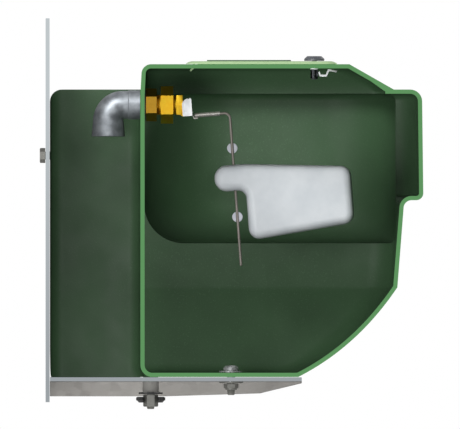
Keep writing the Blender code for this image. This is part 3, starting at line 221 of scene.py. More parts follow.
# painted shadow: a mid grey sleeve stands in for the soft shadow under the shelf round the tub's spout
sleeveShadowGrey = plainMoulding("greySleevePaintedShadow", "#5E5D5A", "#6B6A67", 0.75, 0.8, 0.03)
rubber = plainMoulding("blackNitrileRubber", "#101010", "#1B1B1B", 0.72, 0.8, 0.03)
clipPlastic = plainMoulding("greyWhiteAcetal", "#B9BCC6", "#C3C6CF", 0.42, 0.9, 0.01, 1.48)
acetal = plainMoulding("whiteAcetal", "#EEF1F4", "#FAFBFC", 0.36, 0.9, 0.01, 1.48)
floatPlastic = plainMoulding("greyWhitePolypropylene", "#C0C5CA", "#CBCFD3", 0.48, 1.2, 0.02, 1.49)
nylonGrey = plainMoulding("darkNylon", "#3B3D42", "#4A4D52", 0.34, 0.8, 0.02, 1.53)
nylonBlack = plainMoulding("blackNylon", "#0B0B0C", "#141415", 0.55, 0.8, 0.02, 1.45)
# painted light: the section faces glow, and the grey one carries painted shade towards its foot
glowingCutGreen = glowingCutFace("glowingCutPolyethylene", "#5F945F")
glowingCutGrey = glowingCutFace("glowingCutZincSheet", "#C0C7CA", "#9CA2A6")

# the nodes that keep their CAD shape, with their finish
carried = {"inlet_gasket": rubber, "clapper_seal": rubber, "drain_washer": rubber}
for name, material in carried.items():
    nodes[name].data.materials.clear()
    nodes[name].data.materials.append(material)
print("materials made:", len(bpy.data.materials))


def intoScene(name, data):
    made = bpy.data.objects.new(name, data)
    scene.collection.objects.link(made)
    return made


def dress(mesh, bm, material, smooth):
    bm.to_mesh(mesh)
    bm.free()
    mesh.materials.clear()
    if material:
        mesh.materials.append(material)
    mesh.shade_smooth()
    mesh.set_sharp_from_angle(angle=math.radians(smooth))


def newPiece(name, bm, material=None, smooth=40):
    bmesh.ops.remove_doubles(bm, verts=bm.verts, dist=weld)
    bmesh.ops.recalc_face_normals(bm, faces=bm.faces)
    made = intoScene(name, bpy.data.meshes.new(name))
    dress(made.data, bm, material, smooth)
    return made


def applied(piece, step):  # the modifier's result becomes the piece's plain mesh
    graph = bpy.context.evaluated_depsgraph_get()
    graph.update()
    result = bpy.data.meshes.new_from_object(piece.evaluated_get(graph))
    piece.modifiers.remove(step)
    piece.data = result
    return piece


def combine(target, tool, operation="DIFFERENCE"):
    step = target.modifiers.new("cut", "BOOLEAN")
    step.operation, step.solver, step.object = operation, "EXACT", tool
    applied(target, step)
    bpy.data.objects.remove(tool, do_unlink=True)
    return target


def tidyPiece(piece, material, smooth=40):
    bm = bmesh.new()
    bm.from_mesh(piece.data)
    bmesh.ops.remove_doubles(bm, verts=bm.verts, dist=cutWeld)
    bmesh.ops.dissolve_degenerate(bm, edges=bm.edges, dist=cutWeld)
    dress(piece.data, bm, material, smooth)
    return piece


def loft(rings, closed=False):  # closed joins the last ring to the first instead of capping both
    bm = bmesh.new()
    rows = [[bm.verts.new(p) for p in ring] for ring in rings]
    count = len(rows[0])
    for low, high in zip(rows, rows[1:] + (rows[:1] if closed else [])):
        for i in range(count):
            j = (i + 1) % count
            bm.faces.new((low[i], low[j], high[j], high[i]))
    if not closed:
        bm.faces.new(list(reversed(rows[0])))
        bm.faces.new(rows[-1])
    return bm


def barBetween(radius, start, end, steps=48):
    start, end = Vector(start), Vector(end)
    turn = (end - start).to_track_quat("Z", "Y").to_matrix()
    spokes = [turn @ Vector((radius * math.cos(a), radius * math.sin(a), 0))
              for a in [math.tau * i / steps for i in range(steps)]]
    return loft([[middle + spoke for spoke in spokes] for middle in (start, end)])


def boxBetween(low, high):
    low, high = Vector(low), Vector(high)
    bm = bmesh.new()
    place = Matrix.Translation((low + high) / 2) @ Matrix.Diagonal((*(high - low), 1.0))
    bmesh.ops.create_cube(bm, size=1.0, matrix=place)
    return bm


def arcPoints(cx, cy, radius, start, end, steps):
    angles = [math.radians(start + (end - start) * i / steps) for i in range(steps + 1)]
    return [(cx + radius * math.cos(a), cy + radius * math.sin(a)) for a in angles]


def revolve(profile, base, axis, steps=72, flats=0.0, turn=0.0):
    # (radius, height) spins round the axis. (None, height, way) follows a hexagon, whose corners are cut at 30
    # degrees upwards or downwards by its way
    base, spin = Vector(base), Vector(axis).to_track_quat("Z", "Y").to_matrix()
    columns = []
    for i in range(steps):
        a = math.tau * i / steps + (0 if flats else turn)
        side = flats / 2 / math.cos((a - turn) % (math.pi / 3) - math.pi / 6)
        column = []
        for spot in profile:
            radius, height = spot[:2]
            if radius is None:
                radius = side
                height += spot[2] * (side - flats / 2) * math.tan(math.pi / 6)
            column.append(base + spin @ Vector((radius * math.cos(a), radius * math.sin(a), height)))
        columns.append(column)
    return loft(columns, closed=True)


def ringProfile(inner, outer, low, high, edge):  # a disc, ring or rod with its outer edges cut
    return [(inner, low), (outer - edge, low), (outer, low + edge), (outer, high - edge), (outer - edge, high),
            (inner, high)]


def sweep(stations, steps=40, inner=None):  # stations are (place, direction, radius) in the plane Y = 0
    rings = []
    for back in ((False, True) if inner else (False,)):
        for place, along, radius in (reversed(stations) if back else stations):
            across = Vector((0, 1, 0)).cross(along).normalized()
            radius = inner if back else radius
            rings.append([place + radius * (math.cos(a) * Vector((0, 1, 0)) + math.sin(a) * across)
                          for a in [math.tau * i / steps for i in range(steps)]])
    return loft(rings, closed=bool(inner))


def roundedOutline(corners, steps=10):  # corners are (x, z, radius) of a closed outline
    points = []
    for i, (x, z, radius) in enumerate(corners):
        here = Vector((x, z))
        if not radius:
            points.append(here)
            continue
        before = (Vector(corners[i - 1][:2]) - here).normalized()
        after = (Vector(corners[(i + 1) % len(corners)][:2]) - here).normalized()
        half = before.angle(after) / 2
        centre = here + (before + after).normalized() * (radius / math.sin(half))
        start = here + before * (radius / math.tan(half)) - centre
        end = here + after * (radius / math.tan(half)) - centre
        sweepAngle = start.angle_signed(end)
        points += [centre + Matrix.Rotation(-sweepAngle * n / steps, 2) @ start for n in range(steps + 1)]
    return points


def slab(points, low, high):
    return loft([[Vector((p[0], y, p[1])) for p in points] for y in (low, high)])


def bevelled(piece, width, segments=3, angle=35):
    step = piece.modifiers.new("bevel", "BEVEL")
    step.width, step.segments = width, segments
    step.limit_method, step.angle_limit = "ANGLE", math.radians(angle)
    return applied(piece, step)


def nodeBox(name):
    spots = [v.co for v in nodes[name].data.vertices]
    return [Vector([pick(p[i] for p in spots) for i in range(3)]) for pick in (min, max)]


shadowMakers = bpy.data.collections.new("sectionShadows")  # what casts a shadow from the section's own lights
glintTakers = bpy.data.collections.new("glintPieces")  # what the small light for the fittings reaches
glintless = ("floor_nut", "floor_washer_outer", "drain_nut", "drain_stud", "drain_knob", "rear_bolt_left",
             "rear_bolt_right")


def takePlace(piece, node, body, glint=True):
    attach(piece, body)
    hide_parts(node)
    if node not in ("tub_shell", "back_plate", "shelf_plate", "hatch_lid"):
        shadowMakers.objects.link(piece)
    if glint and node not in glintless:
        glintTakers.objects.link(piece)
    return piece


def softenNode(name, material, width):  # a node's own shape with its edges rounded
    copy = intoScene(name + "Fine", nodes[name].data.copy())
    copy.matrix_world = nodes[name].matrix_world
    return tidyPiece(bevelled(copy, width), material)


def withBar(piece, radius, start, end, how="DIFFERENCE"):
    return combine(piece, newPiece("bar", barBetween(radius, start, end)), how)


def withBox(piece, low, high, how="DIFFERENCE"):
    return combine(piece, newPiece("box", boxBetween(low, high)), how)


# what winds or repeats: one tree for a screw's thread and one for the ribs round a knob
def newTree(name, inputs):
    tree = bpy.data.node_groups.new(name, "GeometryNodeTree")
    tree.interface.new_socket("Geometry", in_out="OUTPUT", socket_type="NodeSocketGeometry")
    for label, kind in inputs:
        tree.interface.new_socket(label, in_out="INPUT", socket_type="NodeSocket" + kind)
    return tree, addNode(tree, "NodeGroupInput").outputs


def endTree(tree, geometry, finish):
    real = addNode(tree, "GeometryNodeRealizeInstances", {}, {"Geometry": geometry})
    dressed = addNode(tree, "GeometryNodeSetMaterial", {}, {"Geometry": real.outputs[0], "Material": finish})
    addNode(tree, "NodeGroupOutput", {}, {0: dressed.outputs[0]})
    return tree


def makeThreadTree():  # a ridge with a pointed crest winds up the Z axis and fades out at both ends
    tree, given = newTree("screwThread", (("Radius", "Float"), ("Pitch", "Float"), ("Turns", "Float"),
                                          ("Ridge", "Float"), ("Finish", "Material")))
    height = addNode(tree, "ShaderNodeMath", {"operation": "MULTIPLY"}, {0: given["Pitch"], 1: given["Turns"]})
    path = addNode(tree, "GeometryNodeCurveSpiral", {"Resolution": 36},
                   {"Rotations": given["Turns"], "Start Radius": given["Radius"],
                    "End Radius": given["Radius"], "Height": height.outputs[0]})
    upright = addNode(tree, "GeometryNodeSetCurveNormal", {"mode": "Z_UP"}, {"Curve": path.outputs[0]})
    along = addNode(tree, "GeometryNodeSplineParameter")
    done = addNode(tree, "ShaderNodeMath", {"operation": "MULTIPLY"}, {0: along.outputs[0], 1: given["Turns"]})
    left = addNode(tree, "ShaderNodeMath", {"operation": "SUBTRACT"}, {0: given["Turns"], 1: done.outputs[0]})
    near = addNode(tree, "ShaderNodeMath", {"operation": "MINIMUM"}, {0: done.outputs[0], 1: left.outputs[0]})
    fade = addNode(tree, "ShaderNodeMapRange", {"From Max": 0.4, "To Min": 0.1}, {"Value": near.outputs[0]})
    half = addNode(tree, "ShaderNodeMath", {"operation": "MULTIPLY", 1: 0.45}, {0: given["Pitch"]})
    shape = addNode(tree, "ShaderNodeCombineXYZ", {"Z": 1}, {"X": given["Ridge"], "Y": half.outputs[0]})
    diamond = addNode(tree, "GeometryNodeCurvePrimitiveCircle", {"Resolution": 4, "Radius": 1})
    profile = addNode(tree, "GeometryNodeTransform", {},
                      {"Geometry": diamond.outputs[0], "Scale": shape.outputs[0]})
    ridge = addNode(tree, "GeometryNodeCurveToMesh", {"Fill Caps": True},
                    {"Curve": upright.outputs[0], "Profile Curve": profile.outputs[0],
                     "Scale": fade.outputs[0]})
    return endTree(tree, ridge.outputs[0], given["Finish"])


def makeRibTree():
    tree, given = newTree("knobRibs", (("Count", "Int"), ("Radius", "Float"), ("Width", "Float"),
                                       ("Height", "Float"), ("Finish", "Material")))
    ring = addNode(tree, "GeometryNodeMeshCircle", {},
                   {"Vertices": given["Count"], "Radius": given["Radius"]})
    half = addNode(tree, "ShaderNodeMath", {"operation": "MULTIPLY", 1: 0.5}, {0: given["Width"]})
    rib = addNode(tree, "GeometryNodeMeshCylinder", {"Vertices": 14},
                  {"Radius": half.outputs[0], "Depth": given["Height"]})
    spread = addNode(tree, "GeometryNodeInstanceOnPoints", {},
                     {"Points": ring.outputs[0], "Instance": rib.outputs[0]})
    return endTree(tree, spread.outputs[0], given["Finish"])


def grow(tree, values, spot):  # runs a tree and keeps what it makes as a plain mesh at its spot
    made = intoScene(tree.name, bpy.data.meshes.new(tree.name))
    step = made.modifiers.new("grow", "NODES")
    step.node_group = tree
    for item in tree.interface.items_tree:
        if item.in_out == "INPUT":
            step[item.identifier] = values[item.name]
    applied(made, step).data.transform(spot)
    return made


threadTree, ribTree = makeThreadTree(), makeRibTree()
alongX = Matrix.Rotation(math.pi / 2, 4, "Y")


def addThread(core, start, long, size, material, turned=None):  # size is (crest radius, ridge, pitch)
    crest, ridge, pitch = size
    values = {"Radius": crest - ridge, "Pitch": pitch, "Turns": long / pitch, "Ridge": ridge,
              "Finish": material}
    combine(core, grow(threadTree, values, Matrix.Translation(start) @ (turned or Matrix())), "UNION")
    return tidyPiece(core, material, smooth=28)


# the tub: the same lofts as the frame's shell, drawn finely
tub = {"wall": 0.0042, "bottom": 0.0003, "rear": 0.0043, "deck": 0.2878, "deckEdge": 0.0120,
       "sumpHalfTop": 0.1150, "sumpHalfFloor": 0.0800, "creaseFront": 0.0920, "creaseRear": 0.1190,
       "waistX": 0.1800, "floorEdge": 0.0120, "sumpCorners": (0.0140, 0.0300), "cornerLeast": 0.0015,
       "nicheHalf": 0.0600, "nicheEnd": 0.0948, "nicheMouth": 0.0140, "nicheFillet": 0.0130,
       "keel": ((0.2526, 0.0003), (0.3113, 0.0299), (0.3518, 0.0899)), "sumpFront": 0.3580,
       "lipUnder": 0.1771, "lipCorner": 0.0070, "lipHollow": 0.0080, "lipFront": (0.3777, 0.3766),
       "lipStep": 0.0006, "basinHalf": 0.2850, "basinX": (0.0942, 0.3542), "basinBottom": 0.1298,
       "basinEdges": (0.0440, 0.0110), "basinCorners": (0.0950, 0.0750),
       "openingInner": 0.1120, "openingRim": 0.0300, "openingCorner": 0.0450,
       "hoodTop": 0.3131, "hoodEdge": 0.0090, "hoodRear": 0.0950, "hoodLean": 0.0014,
       "hoodSlope": (0.3038, 0.3482), "hoodHalf": (0.0980, 0.0820), "hoodCorner": 0.0200,
       "hatch": (0.1454, 0.2925, 0.0360), "rebate": (0.0058, 0.0021), "drainX": 0.1051, "floorBoltX": 0.1855,
       "spout": (0.0075, -0.0146), "boltHole": 0.0045, "rearHole": (0.0875, 0.2218),
       "inlet": (0.0106, valveZ), "keeper": (0.2619, 0.2739, 0.0175, 0.3084, 0.3107)}


def setBack(z, centre, radius):  # how far a rounded edge draws a wall in at this height
    rise = min(abs(z - centre), radius)
    return radius - math.sqrt(max(radius * radius - rise * rise, 0.0))


def planRing(z, rear, front, half, corners, mid=None, steps=(8, 10)):
    side = arcPoints(front - corners[1], half[1] - corners[1], corners[1], 0, 90, steps[1])
    if mid:
        side.append(mid)
    side += arcPoints(rear + corners[0], half[0] - corners[0], corners[0], 90, 180, steps[0])
    return [Vector((x, y, z)) for x, y in side + [(x, -y) for x, y in reversed(side)]]


def offsetLine(points, distance):
    moved = []
    for i, (x, z) in enumerate(points):
        here = Vector((x, z))
        first = here - Vector(points[i - 1]) if i else Vector(points[1]) - here
        second = Vector(points[i + 1]) - here if i < len(points) - 1 else first
        n1, n2 = Vector((-first.y, first.x)).normalized(), Vector((-second.y, second.x)).normalized()
        middle = (n1 + n2).normalized()
        moved.append(tuple(here + middle * (distance / max(middle.dot(n1), 0.6))))
    return moved


def frontLine():
    t, points = tub, []
    foot, pull, top = t["keel"]
    for i in range(25):
        s = i / 24
        k = 1 - s
        points.append(tuple(k * k * foot[n] + 2 * s * k * pull[n] + s * s * top[n] for n in (0, 1)))
    hollow = t["lipHollow"]
    hx, hz = t["sumpFront"] + hollow, t["lipUnder"] - hollow
    points.append((t["sumpFront"] - t["lipStep"], hz - hollow))
    points += arcPoints(hx, hz, hollow, 180, 92, 8)
    corner = t["lipCorner"]
    points += arcPoints(t["lipFront"][0] - corner, t["lipUnder"] + corner, corner, -90, 0, 8)
    return points


def sumpVolume(depth):
    t, rings = tub, []
    floorZ = t["bottom"] + depth
    floorCentre, deckCentre = t["bottom"] + t["floorEdge"], t["deck"] - t["deckEdge"]
    line = offsetLine(frontLine(), depth)
    (x0, z0), (x1, z1) = line[:2]
    line[0] = (x0 + (x1 - x0) * (floorZ - z0) / (z1 - z0), floorZ)
    levels = [p for p in line if p[1] >= floorZ]
    deckRise = t["deckEdge"] - depth
    for i in range(9):
        a = math.radians(90 * i / 8)
        levels.append((t["lipFront"][1] - depth - deckRise * (1 - math.cos(a)),
                       deckCentre + deckRise * math.sin(a)))
    widen = t["sumpHalfTop"] - t["sumpHalfFloor"]
    for x, z in levels:
        draw = depth
        if z < floorCentre:
            draw += setBack(z, floorCentre, t["floorEdge"] - depth)
        if z > deckCentre:
            draw += setBack(z, deckCentre, t["deckEdge"] - depth)
        halfFront = t["sumpHalfFloor"] + widen * min(z / t["creaseFront"], 1.0) - draw
        halfRear = t["sumpHalfFloor"] + widen * min(z / t["creaseRear"], 1.0) - draw
        corners = (max(t["sumpCorners"][0] - draw, t["cornerLeast"]), t["sumpCorners"][1] - draw / 2)
        rearDraw = draw if z > floorCentre else depth  # the rear wall stands square on the floor
        rings.append(planRing(z, t["rear"] + rearDraw, x, (halfRear, halfFront), corners,
                              (t["waistX"], halfFront)))
    return newPiece("sump", loft(rings))


def basinVolume(depth):
    t, rings = tub, []
    low, high, (rearEdge, frontEdge) = t["basinBottom"], t["deck"], t["basinEdges"]
    levels = [low + depth + (rearEdge - depth) * (1 - math.cos(math.radians(90 * i / 14))) for i in range(15)]
    deckRise = t["deckEdge"] - depth
    levels += [high - t["deckEdge"] + deckRise * math.sin(math.radians(90 * i / 8)) for i in range(9)]
    for z in levels:
        rearDraw = frontDraw = depth
        if z < low + rearEdge:
            rearDraw += setBack(z, low + rearEdge, rearEdge - depth)
        if z < low + frontEdge:
            frontDraw += setBack(z, low + frontEdge, frontEdge - depth)
        if z > high - t["deckEdge"]:
            topDraw = setBack(z, high - t["deckEdge"], t["deckEdge"] - depth)
            rearDraw, frontDraw = rearDraw + topDraw, frontDraw + topDraw
        half = t["basinHalf"] - rearDraw
        corners = (t["basinCorners"][0] - rearDraw, t["basinCorners"][1] - frontDraw)
        rings.append(planRing(z, t["basinX"][0] + rearDraw, t["basinX"][1] - frontDraw, (half, half), corners,
                              steps=(18, 16)))
    return newPiece("basins", loft(rings))


def hoodVolume(depth):
    t, rings = tub, []
    top, deck, edge = t["hoodTop"], t["deck"], t["hoodEdge"] - depth
    centre = top - t["hoodEdge"]
    slope = (t["hoodSlope"][1] - t["hoodSlope"][0]) / (top - deck)
    levels = [deck - 2 * t["deckEdge"], deck - depth * 0.5, deck + (centre - deck) * 0.5]
    levels += [centre + edge * math.sin(math.radians(90 * i / 8)) for i in range(9)]
    for z in levels:
        rise = max(z - deck, 0.0)
        share = rise / (top - deck)
        draw = depth + (setBack(z, centre, edge) if z > centre else 0.0)
        half = t["hoodHalf"][0] + (t["hoodHalf"][1] - t["hoodHalf"][0]) * share - draw
        front = t["hoodSlope"][1] - slope * rise - depth * math.sqrt(1 + slope * slope)
        corner = t["hoodCorner"] - depth
        rear = t["hoodRear"] + t["hoodLean"] * share + draw
        rings.append(planRing(z, rear, front, (half, half), (corner, corner)))
    return newPiece("hood", loft(rings))


def nicheVolume(depth):
    t, rings = tub, []
    centre, radius = t["bottom"] + t["floorEdge"], t["floorEdge"] - depth
    levels = [centre - radius * math.cos(math.radians(90 * i / 8)) for i in range(9)]
    levels[0] -= cutPast
    levels.append(t["hoodTop"] + 10 * cutPast)
    mouth, fillet = t["nicheMouth"], t["nicheFillet"]
    cx, cy = t["nicheEnd"] - fillet, t["nicheHalf"] - fillet
    for z in levels:
        swell = depth + (setBack(max(z, centre - radius), centre, radius) if z < centre else 0.0)
        # only the front wall runs out into the floor: the sides stand square on it
        side = arcPoints(t["rear"] + mouth, t["nicheHalf"] + mouth, mouth - depth, 180, 270, 8)
        side += [(x, cy + (y - cy) * (fillet + depth) / (fillet + swell))
                 for x, y in arcPoints(cx, cy, fillet + swell, 90, 0, 8)]
        side.insert(0, (-10 * cutPast, side[0][1]))
        rings.append([Vector((x, y, z)) for x, y in side + [(x, -y) for x, y in reversed(side)]])
    return newPiece("niche", loft(rings))


def tubVolume(depth):
    solid = combine(sumpVolume(depth), basinVolume(depth), "UNION")
    combine(solid, hoodVolume(depth), "UNION")
    return combine(solid, nicheVolume(depth))


def openingCutter(side):
    t = tub
    inner, outer = t["openingInner"], t["basinHalf"] - t["openingRim"]
    middle, half = (inner + outer) / 2, (outer - inner) / 2
    rings = []
    for z in (t["deck"] - t["wall"] - cutPast, t["deck"] + cutPast):
        ring = planRing(z, t["basinX"][0] + t["openingRim"], t["basinX"][1] - t["openingRim"], (half, half),
                        (t["openingCorner"],) * 2, steps=(16, 16))
        rings.append([p + Vector((0, side * middle, 0)) for p in ring])
    return newPiece("opening", loft(rings))


def makeTub():
    t = tub
    wall, bottom, top = t["wall"], t["bottom"], t["hoodTop"]
    made = tubVolume(0.0)
    radius, spoutEnd = t["spout"]
    x = t["drainX"]
    withBar(made, radius, (x, 0, spoutEnd), (x, 0, bottom + t["floorEdge"]), "UNION")
    combine(made, tubVolume(wall))
    for side in (-1, 1):
        combine(made, openingCutter(side))
    rear, front, half = t["hatch"]
    withBox(made, (rear, -half, top - wall - cutPast), (front, half, top + cutPast))
    reach, deep = t["rebate"]
    withBox(made, (front - cutPast, -half, top - deep), (front + reach, half, top + cutPast))
    x0, x1, y0, z0, z1 = t["keeper"]
    withBox(made, (x0, y0, z0), (x1, half + overlap, z1), "UNION")
    hole, clearZ = t["boltHole"], bottom + wall + cutPast
    y, z = t["rearHole"]
    bore, inletZ = t["inlet"]
    cuts = [(hole, (x, 0, spoutEnd - cutPast), (x, 0, clearZ)),
            (hole, (t["floorBoltX"], 0, -cutPast), (t["floorBoltX"], 0, clearZ)),
            (bore, (t["nicheEnd"] - cutPast, 0, inletZ), (t["nicheEnd"] + wall + cutPast, 0, inletZ))]
    cuts += [(hole, (t["rear"] - cutPast, s * y, z), (t["rear"] + wall + cutPast, s * y, z)) for s in (-1, 1)]
    for size, start, end in cuts:
        withBar(made, size, start, end)
    made.name = "tubShell"
    return tidyPiece(made, tubGreen)


tubPiece = makeTub()
takePlace(tubPiece, "tub_shell", "bowl", glint=False)
print("tub made:", len(tubPiece.data.polygons), "faces")


# wall plate and folded shelf, with rounded edges from the zinc bath
bracket = {"thick": 0.0040, "half": 0.1200, "low": -0.0249, "high": 0.3590, "corner": 0.0080,
           "wallHole": 0.0055, "boltHole": 0.0045, "wallHoleY": 0.0900, "wallHoleZ": (0.3380, -0.0140),
           "gap": 0.0003, "front": 0.2562, "flange": ((0.2562, 0.0060), (0.2144, 0.0161), (0.1194, 0.0190)),
           "bend": 0.0050, "edge": 0.0005, "spoutHole": 0.0083}


def makeBackPlate():
    b = bracket
    outline = []
    for cy, cz, start in ((1, 1, 0), (-1, 1, 90), (-1, -1, 180), (1, -1, 270)):
        z = b["high"] - b["corner"] if cz > 0 else b["low"] + b["corner"]
        outline += arcPoints(cy * (b["half"] - b["corner"]), z, b["corner"], start, start + 90, 8)
    plate = newPiece("wallPlate", loft([[Vector((x, y, z)) for y, z in outline] for x in (0, b["thick"])]))
    holes = [(side * b["wallHoleY"], z, b["wallHole"]) for side in (-1, 1) for z in b["wallHoleZ"]]
    holes += [(side * tub["rearHole"][0], tub["rearHole"][1], b["boltHole"]) for side in (-1, 1)]
    for y, z, radius in holes:
        withBar(plate, radius, (-cutPast, y, z), (b["thick"] + cutPast, y, z))
    return tidyPiece(bevelled(plate, b["edge"]), zincSheet)


def makeShelf():
    b = bracket
    rear, deep = b["thick"] + b["gap"], b["flange"][2][1]
    outer = arcPoints(b["half"] - b["bend"], -b["bend"], b["bend"], 90, 0, 6)
    inner = arcPoints(b["half"] - b["bend"], -b["bend"], b["bend"] - b["thick"], 0, 90, 6)
    half = outer + [(b["half"], -deep), (b["half"] - b["thick"], -deep)] + inner
    outline = half + [(-y, z) for y, z in reversed(half)]
    shelf = newPiece("shelf", loft([[Vector((x, y, z)) for y, z in outline] for x in (rear, b["front"])]))
    (x0, z0), (x1, z1), (x2, z2) = b["flange"]
    under = [(x0 + cutPast, -z0), (x0, -z0), (x1, -z1), (x2, -z2), (x2, -z2 - cutPast),
             (x0 + cutPast, -z2 - cutPast)]
    combine(shelf, newPiece("taper", slab(under, -b["half"] - cutPast, b["half"] + cutPast)))
    for x, radius in ((tub["floorBoltX"], b["boltHole"]), (tub["drainX"], b["spoutHole"])):
        withBar(shelf, radius, (x, 0, -2 * b["thick"]), (x, 0, cutPast))
    return tidyPiece(bevelled(shelf, b["edge"]), zincSheet)


def flatSheet(piece):
    for face in piece.data.polygons:
        face.use_smooth = max(abs(c) for c in face.normal) < 0.9995
    return piece


wallPlate = takePlace(flatSheet(makeBackPlate()), "back_plate", "bowl", glint=False)
shelf = takePlace(flatSheet(makeShelf()), "shelf_plate", "bowl", glint=False)
print("bracket made")


# hexagon hardware: each piece takes its place and length from its node's box
metric = {"flats": 0.0130, "shank": 0.0040, "hole": 0.0042, "washerHole": 0.0045, "rootCut": 0.0007,
          "edge": 0.0003, "pitch": 0.00125, "ridge": 0.00045, "threadLong": 0.0135, "cornerUp": math.pi / 6,
          "dome": (0.30, 0.62, 0.6), "bead": (0.72, 0.90, 0.93, 0.80)}


def makeWasher(node, axis, material):
    low, high = nodeBox(node)
    centre, way = (low + high) / 2, Vector(axis)
    length = (high - low).dot(way)
    radius = max(high - low) / 2
    profile = ringProfile(metric["washerHole"], radius, 0, length, metric["edge"])
    piece = newPiece(node + "Fine", revolve(profile, centre - way * length / 2, axis), material)
    return takePlace(piece, node, "bowl")


def makeNut(node, axis, flats, hole, material, body, turn=0.0, collar=False, chamfer=1):
    low, high = nodeBox(node)
    centre, way = (low + high) / 2, Vector(axis)
    length = abs((high - low).dot(way))
    lead = metric["edge"]
    profile = [(hole, lead), (hole + lead, 0), (flats / 2, 0), (None, 0, chamfer)]
    if collar:  # the plastic ring's bead at the top of a locking nut
        foot, shoulder, wide, top = metric["bead"]
        profile += [(None, length * foot, -1), (flats / 2 * wide, length * foot),
                    (flats / 2 * wide, length * shoulder), (flats / 2 * top, length), (hole, length)]
    else:
        profile += [(None, length, -chamfer), (flats / 2, length), (hole + lead, length),
                    (hole, length - lead)]
    piece = newPiece(node + "Fine", revolve(profile, centre - way * length / 2, axis, flats=flats, turn=turn),
                     material, smooth=28)
    return takePlace(piece, node, body)


def makeRearBolt(side, label):
    m = metric
    low, high = nodeBox("rear_bolt_" + label)
    head = -bracket["gap"]
    centre = (low + high) / 2
    start, core = high.x - m["threadLong"], m["shank"] - m["ridge"]
    profile = [(0, low.x), (m["flats"] / 2, low.x), (None, low.x, 1), (None, head, 0), (m["shank"], head),
               (m["shank"], start), (core, start + m["ridge"]), (core, high.x - m["rootCut"]),
               (core - m["rootCut"], high.x), (0, high.x)]
    bolt = newPiece("rearBolt" + label, revolve(profile, (0, centre.y, centre.z), (1, 0, 0), flats=m["flats"],
                                                turn=m["cornerUp"]))
    addThread(bolt, (start + m["pitch"], centre.y, centre.z), m["threadLong"] - m["pitch"] * 2,
              (m["shank"], m["ridge"], m["pitch"]), shadedDullZinc, alongX)
    takePlace(bolt, "rear_bolt_" + label, "bowl")
    makeWasher("rear_washer_" + label, (1, 0, 0), steelLevel)
    makeNut("rear_nut_" + label, (1, 0, 0), m["flats"], m["hole"], steelLevel, "bowl",
            m["cornerUp"])


def makeFloorBolt():
    m = metric
    low, high = nodeBox("floor_bolt")
    seat, radius = nodeBox("floor_washer_inner")[1].z + bracket["gap"], (high - low).x / 2
    rise, (rim, crown, fullness) = high.z - seat, m["dome"]
    dome = [(radius * math.cos(a) ** fullness, seat + rise * (rim + crown * math.sin(a)))
            for a in [math.radians(9 * i) for i in range(10)]]
    top, core = low.z + m["threadLong"], m["shank"] - m["ridge"]
    profile = [(0, low.z), (core - m["rootCut"], low.z), (core, low.z + m["rootCut"]),
               (core, top - m["ridge"]), (m["shank"], top), (m["shank"], seat), (radius, seat)]
    profile += dome + [(0, seat + rise * (rim + crown))]
    bolt = newPiece("floorBolt", revolve(profile, (tub["floorBoltX"], 0, 0), (0, 0, 1)))
    addThread(bolt, (tub["floorBoltX"], 0, low.z + m["pitch"]), m["threadLong"] - m["pitch"] * 2,
              (m["shank"], m["ridge"], m["pitch"]), litZinc)
    bolt.data.materials.append(shadedDullZinc)  # painted shade: its end under the shelf takes the darker copy of the zinc
    for face in bolt.data.polygons:
        face.material_index = int(face.center.z < 0)
    takePlace(bolt, "floor_bolt", "bowl")
    makeWasher("floor_washer_inner", (0, 0, 1), litZinc)
    # the outer washer and nut under the shelf take the darker copy of the zinc, as painted shade
    makeWasher("floor_washer_outer", (0, 0, 1), shadedDullZinc)
    makeNut("floor_nut", (0, 0, -1), m["flats"], m["hole"], shadedDullZinc, "bowl", collar=True)


for side, label in ((-1, "left"), (1, "right")):
    makeRearBolt(side, label)
makeFloorBolt()
print("bowl hardware made")


# supply elbow: the cast bend swells from the pipe's width to its lower mouth
elbow = {"dropX": 0.0627, "low": 0.2408, "bend": 0.0155, "radius": 0.0140, "swell": 0.0013, "mouth": 0.0167,
         "edge": 0.0006, "band": 0.0120, "bandRadius": 0.0146, "bore": 0.0109, "axisZ": valveZ, "endX": 0.0945}


def makeElbow():
    e = elbow
    down, level = Vector((0, 0, 1)), Vector((1, 0, 0))
    stations = [(Vector((e["dropX"], 0, e["low"] + z)), down, radius)
                for z, radius in ((0, e["mouth"] - e["edge"]), (e["edge"], e["mouth"]))]
    centre = Vector((e["dropX"] + e["bend"], 0, e["axisZ"] - e["bend"]))
    for i in range(25):
        a = math.radians(180 - 90 * i / 24)
        stations.append((centre + e["bend"] * Vector((math.cos(a), 0, math.sin(a))),
                         Vector((math.sin(a), 0, -math.cos(a))), e["radius"] + e["swell"] * (1 - i / 24)))
    bandX = e["endX"] - e["band"]
    for x, radius in ((bandX, e["radius"]), (bandX + e["edge"], e["bandRadius"]),
                      (e["endX"], e["bandRadius"])):
        stations.append((Vector((x, 0, e["axisZ"])), level, radius))
    return newPiece("elbow", sweep(stations, steps=72, inner=e["bore"]), zincCast, smooth=30)


takePlace(makeElbow(), "supply_elbow", "bowl")


# brass float valve: a hexagon body on a threaded tail, a nozzle with a lug for the pin, and the backnut
valve = {"z": valveZ, "thread": 0.0103, "bore": 0.0065, "jet": 0.0030, "jetLength": 0.0060,
         "hexLength": 0.0124, "flats": 0.0324, "nutFlats": 0.0284, "nozzle": 0.0101, "neck": 0.0028,
         "groove": 0.0006, "length": 0.0099, "pivot": (0.1399, 0.2637), "lug": (0.0025, 0.0034),
         "pinHole": 0.0018, "pitch": 0.00181, "ridge": 0.00045, "clamp": 0.0041, "neckCut": 0.0012,
         "edge": 0.0004, "blockIn": 0.0002, "blockEdge": 0.0006, "armShare": 0.9}


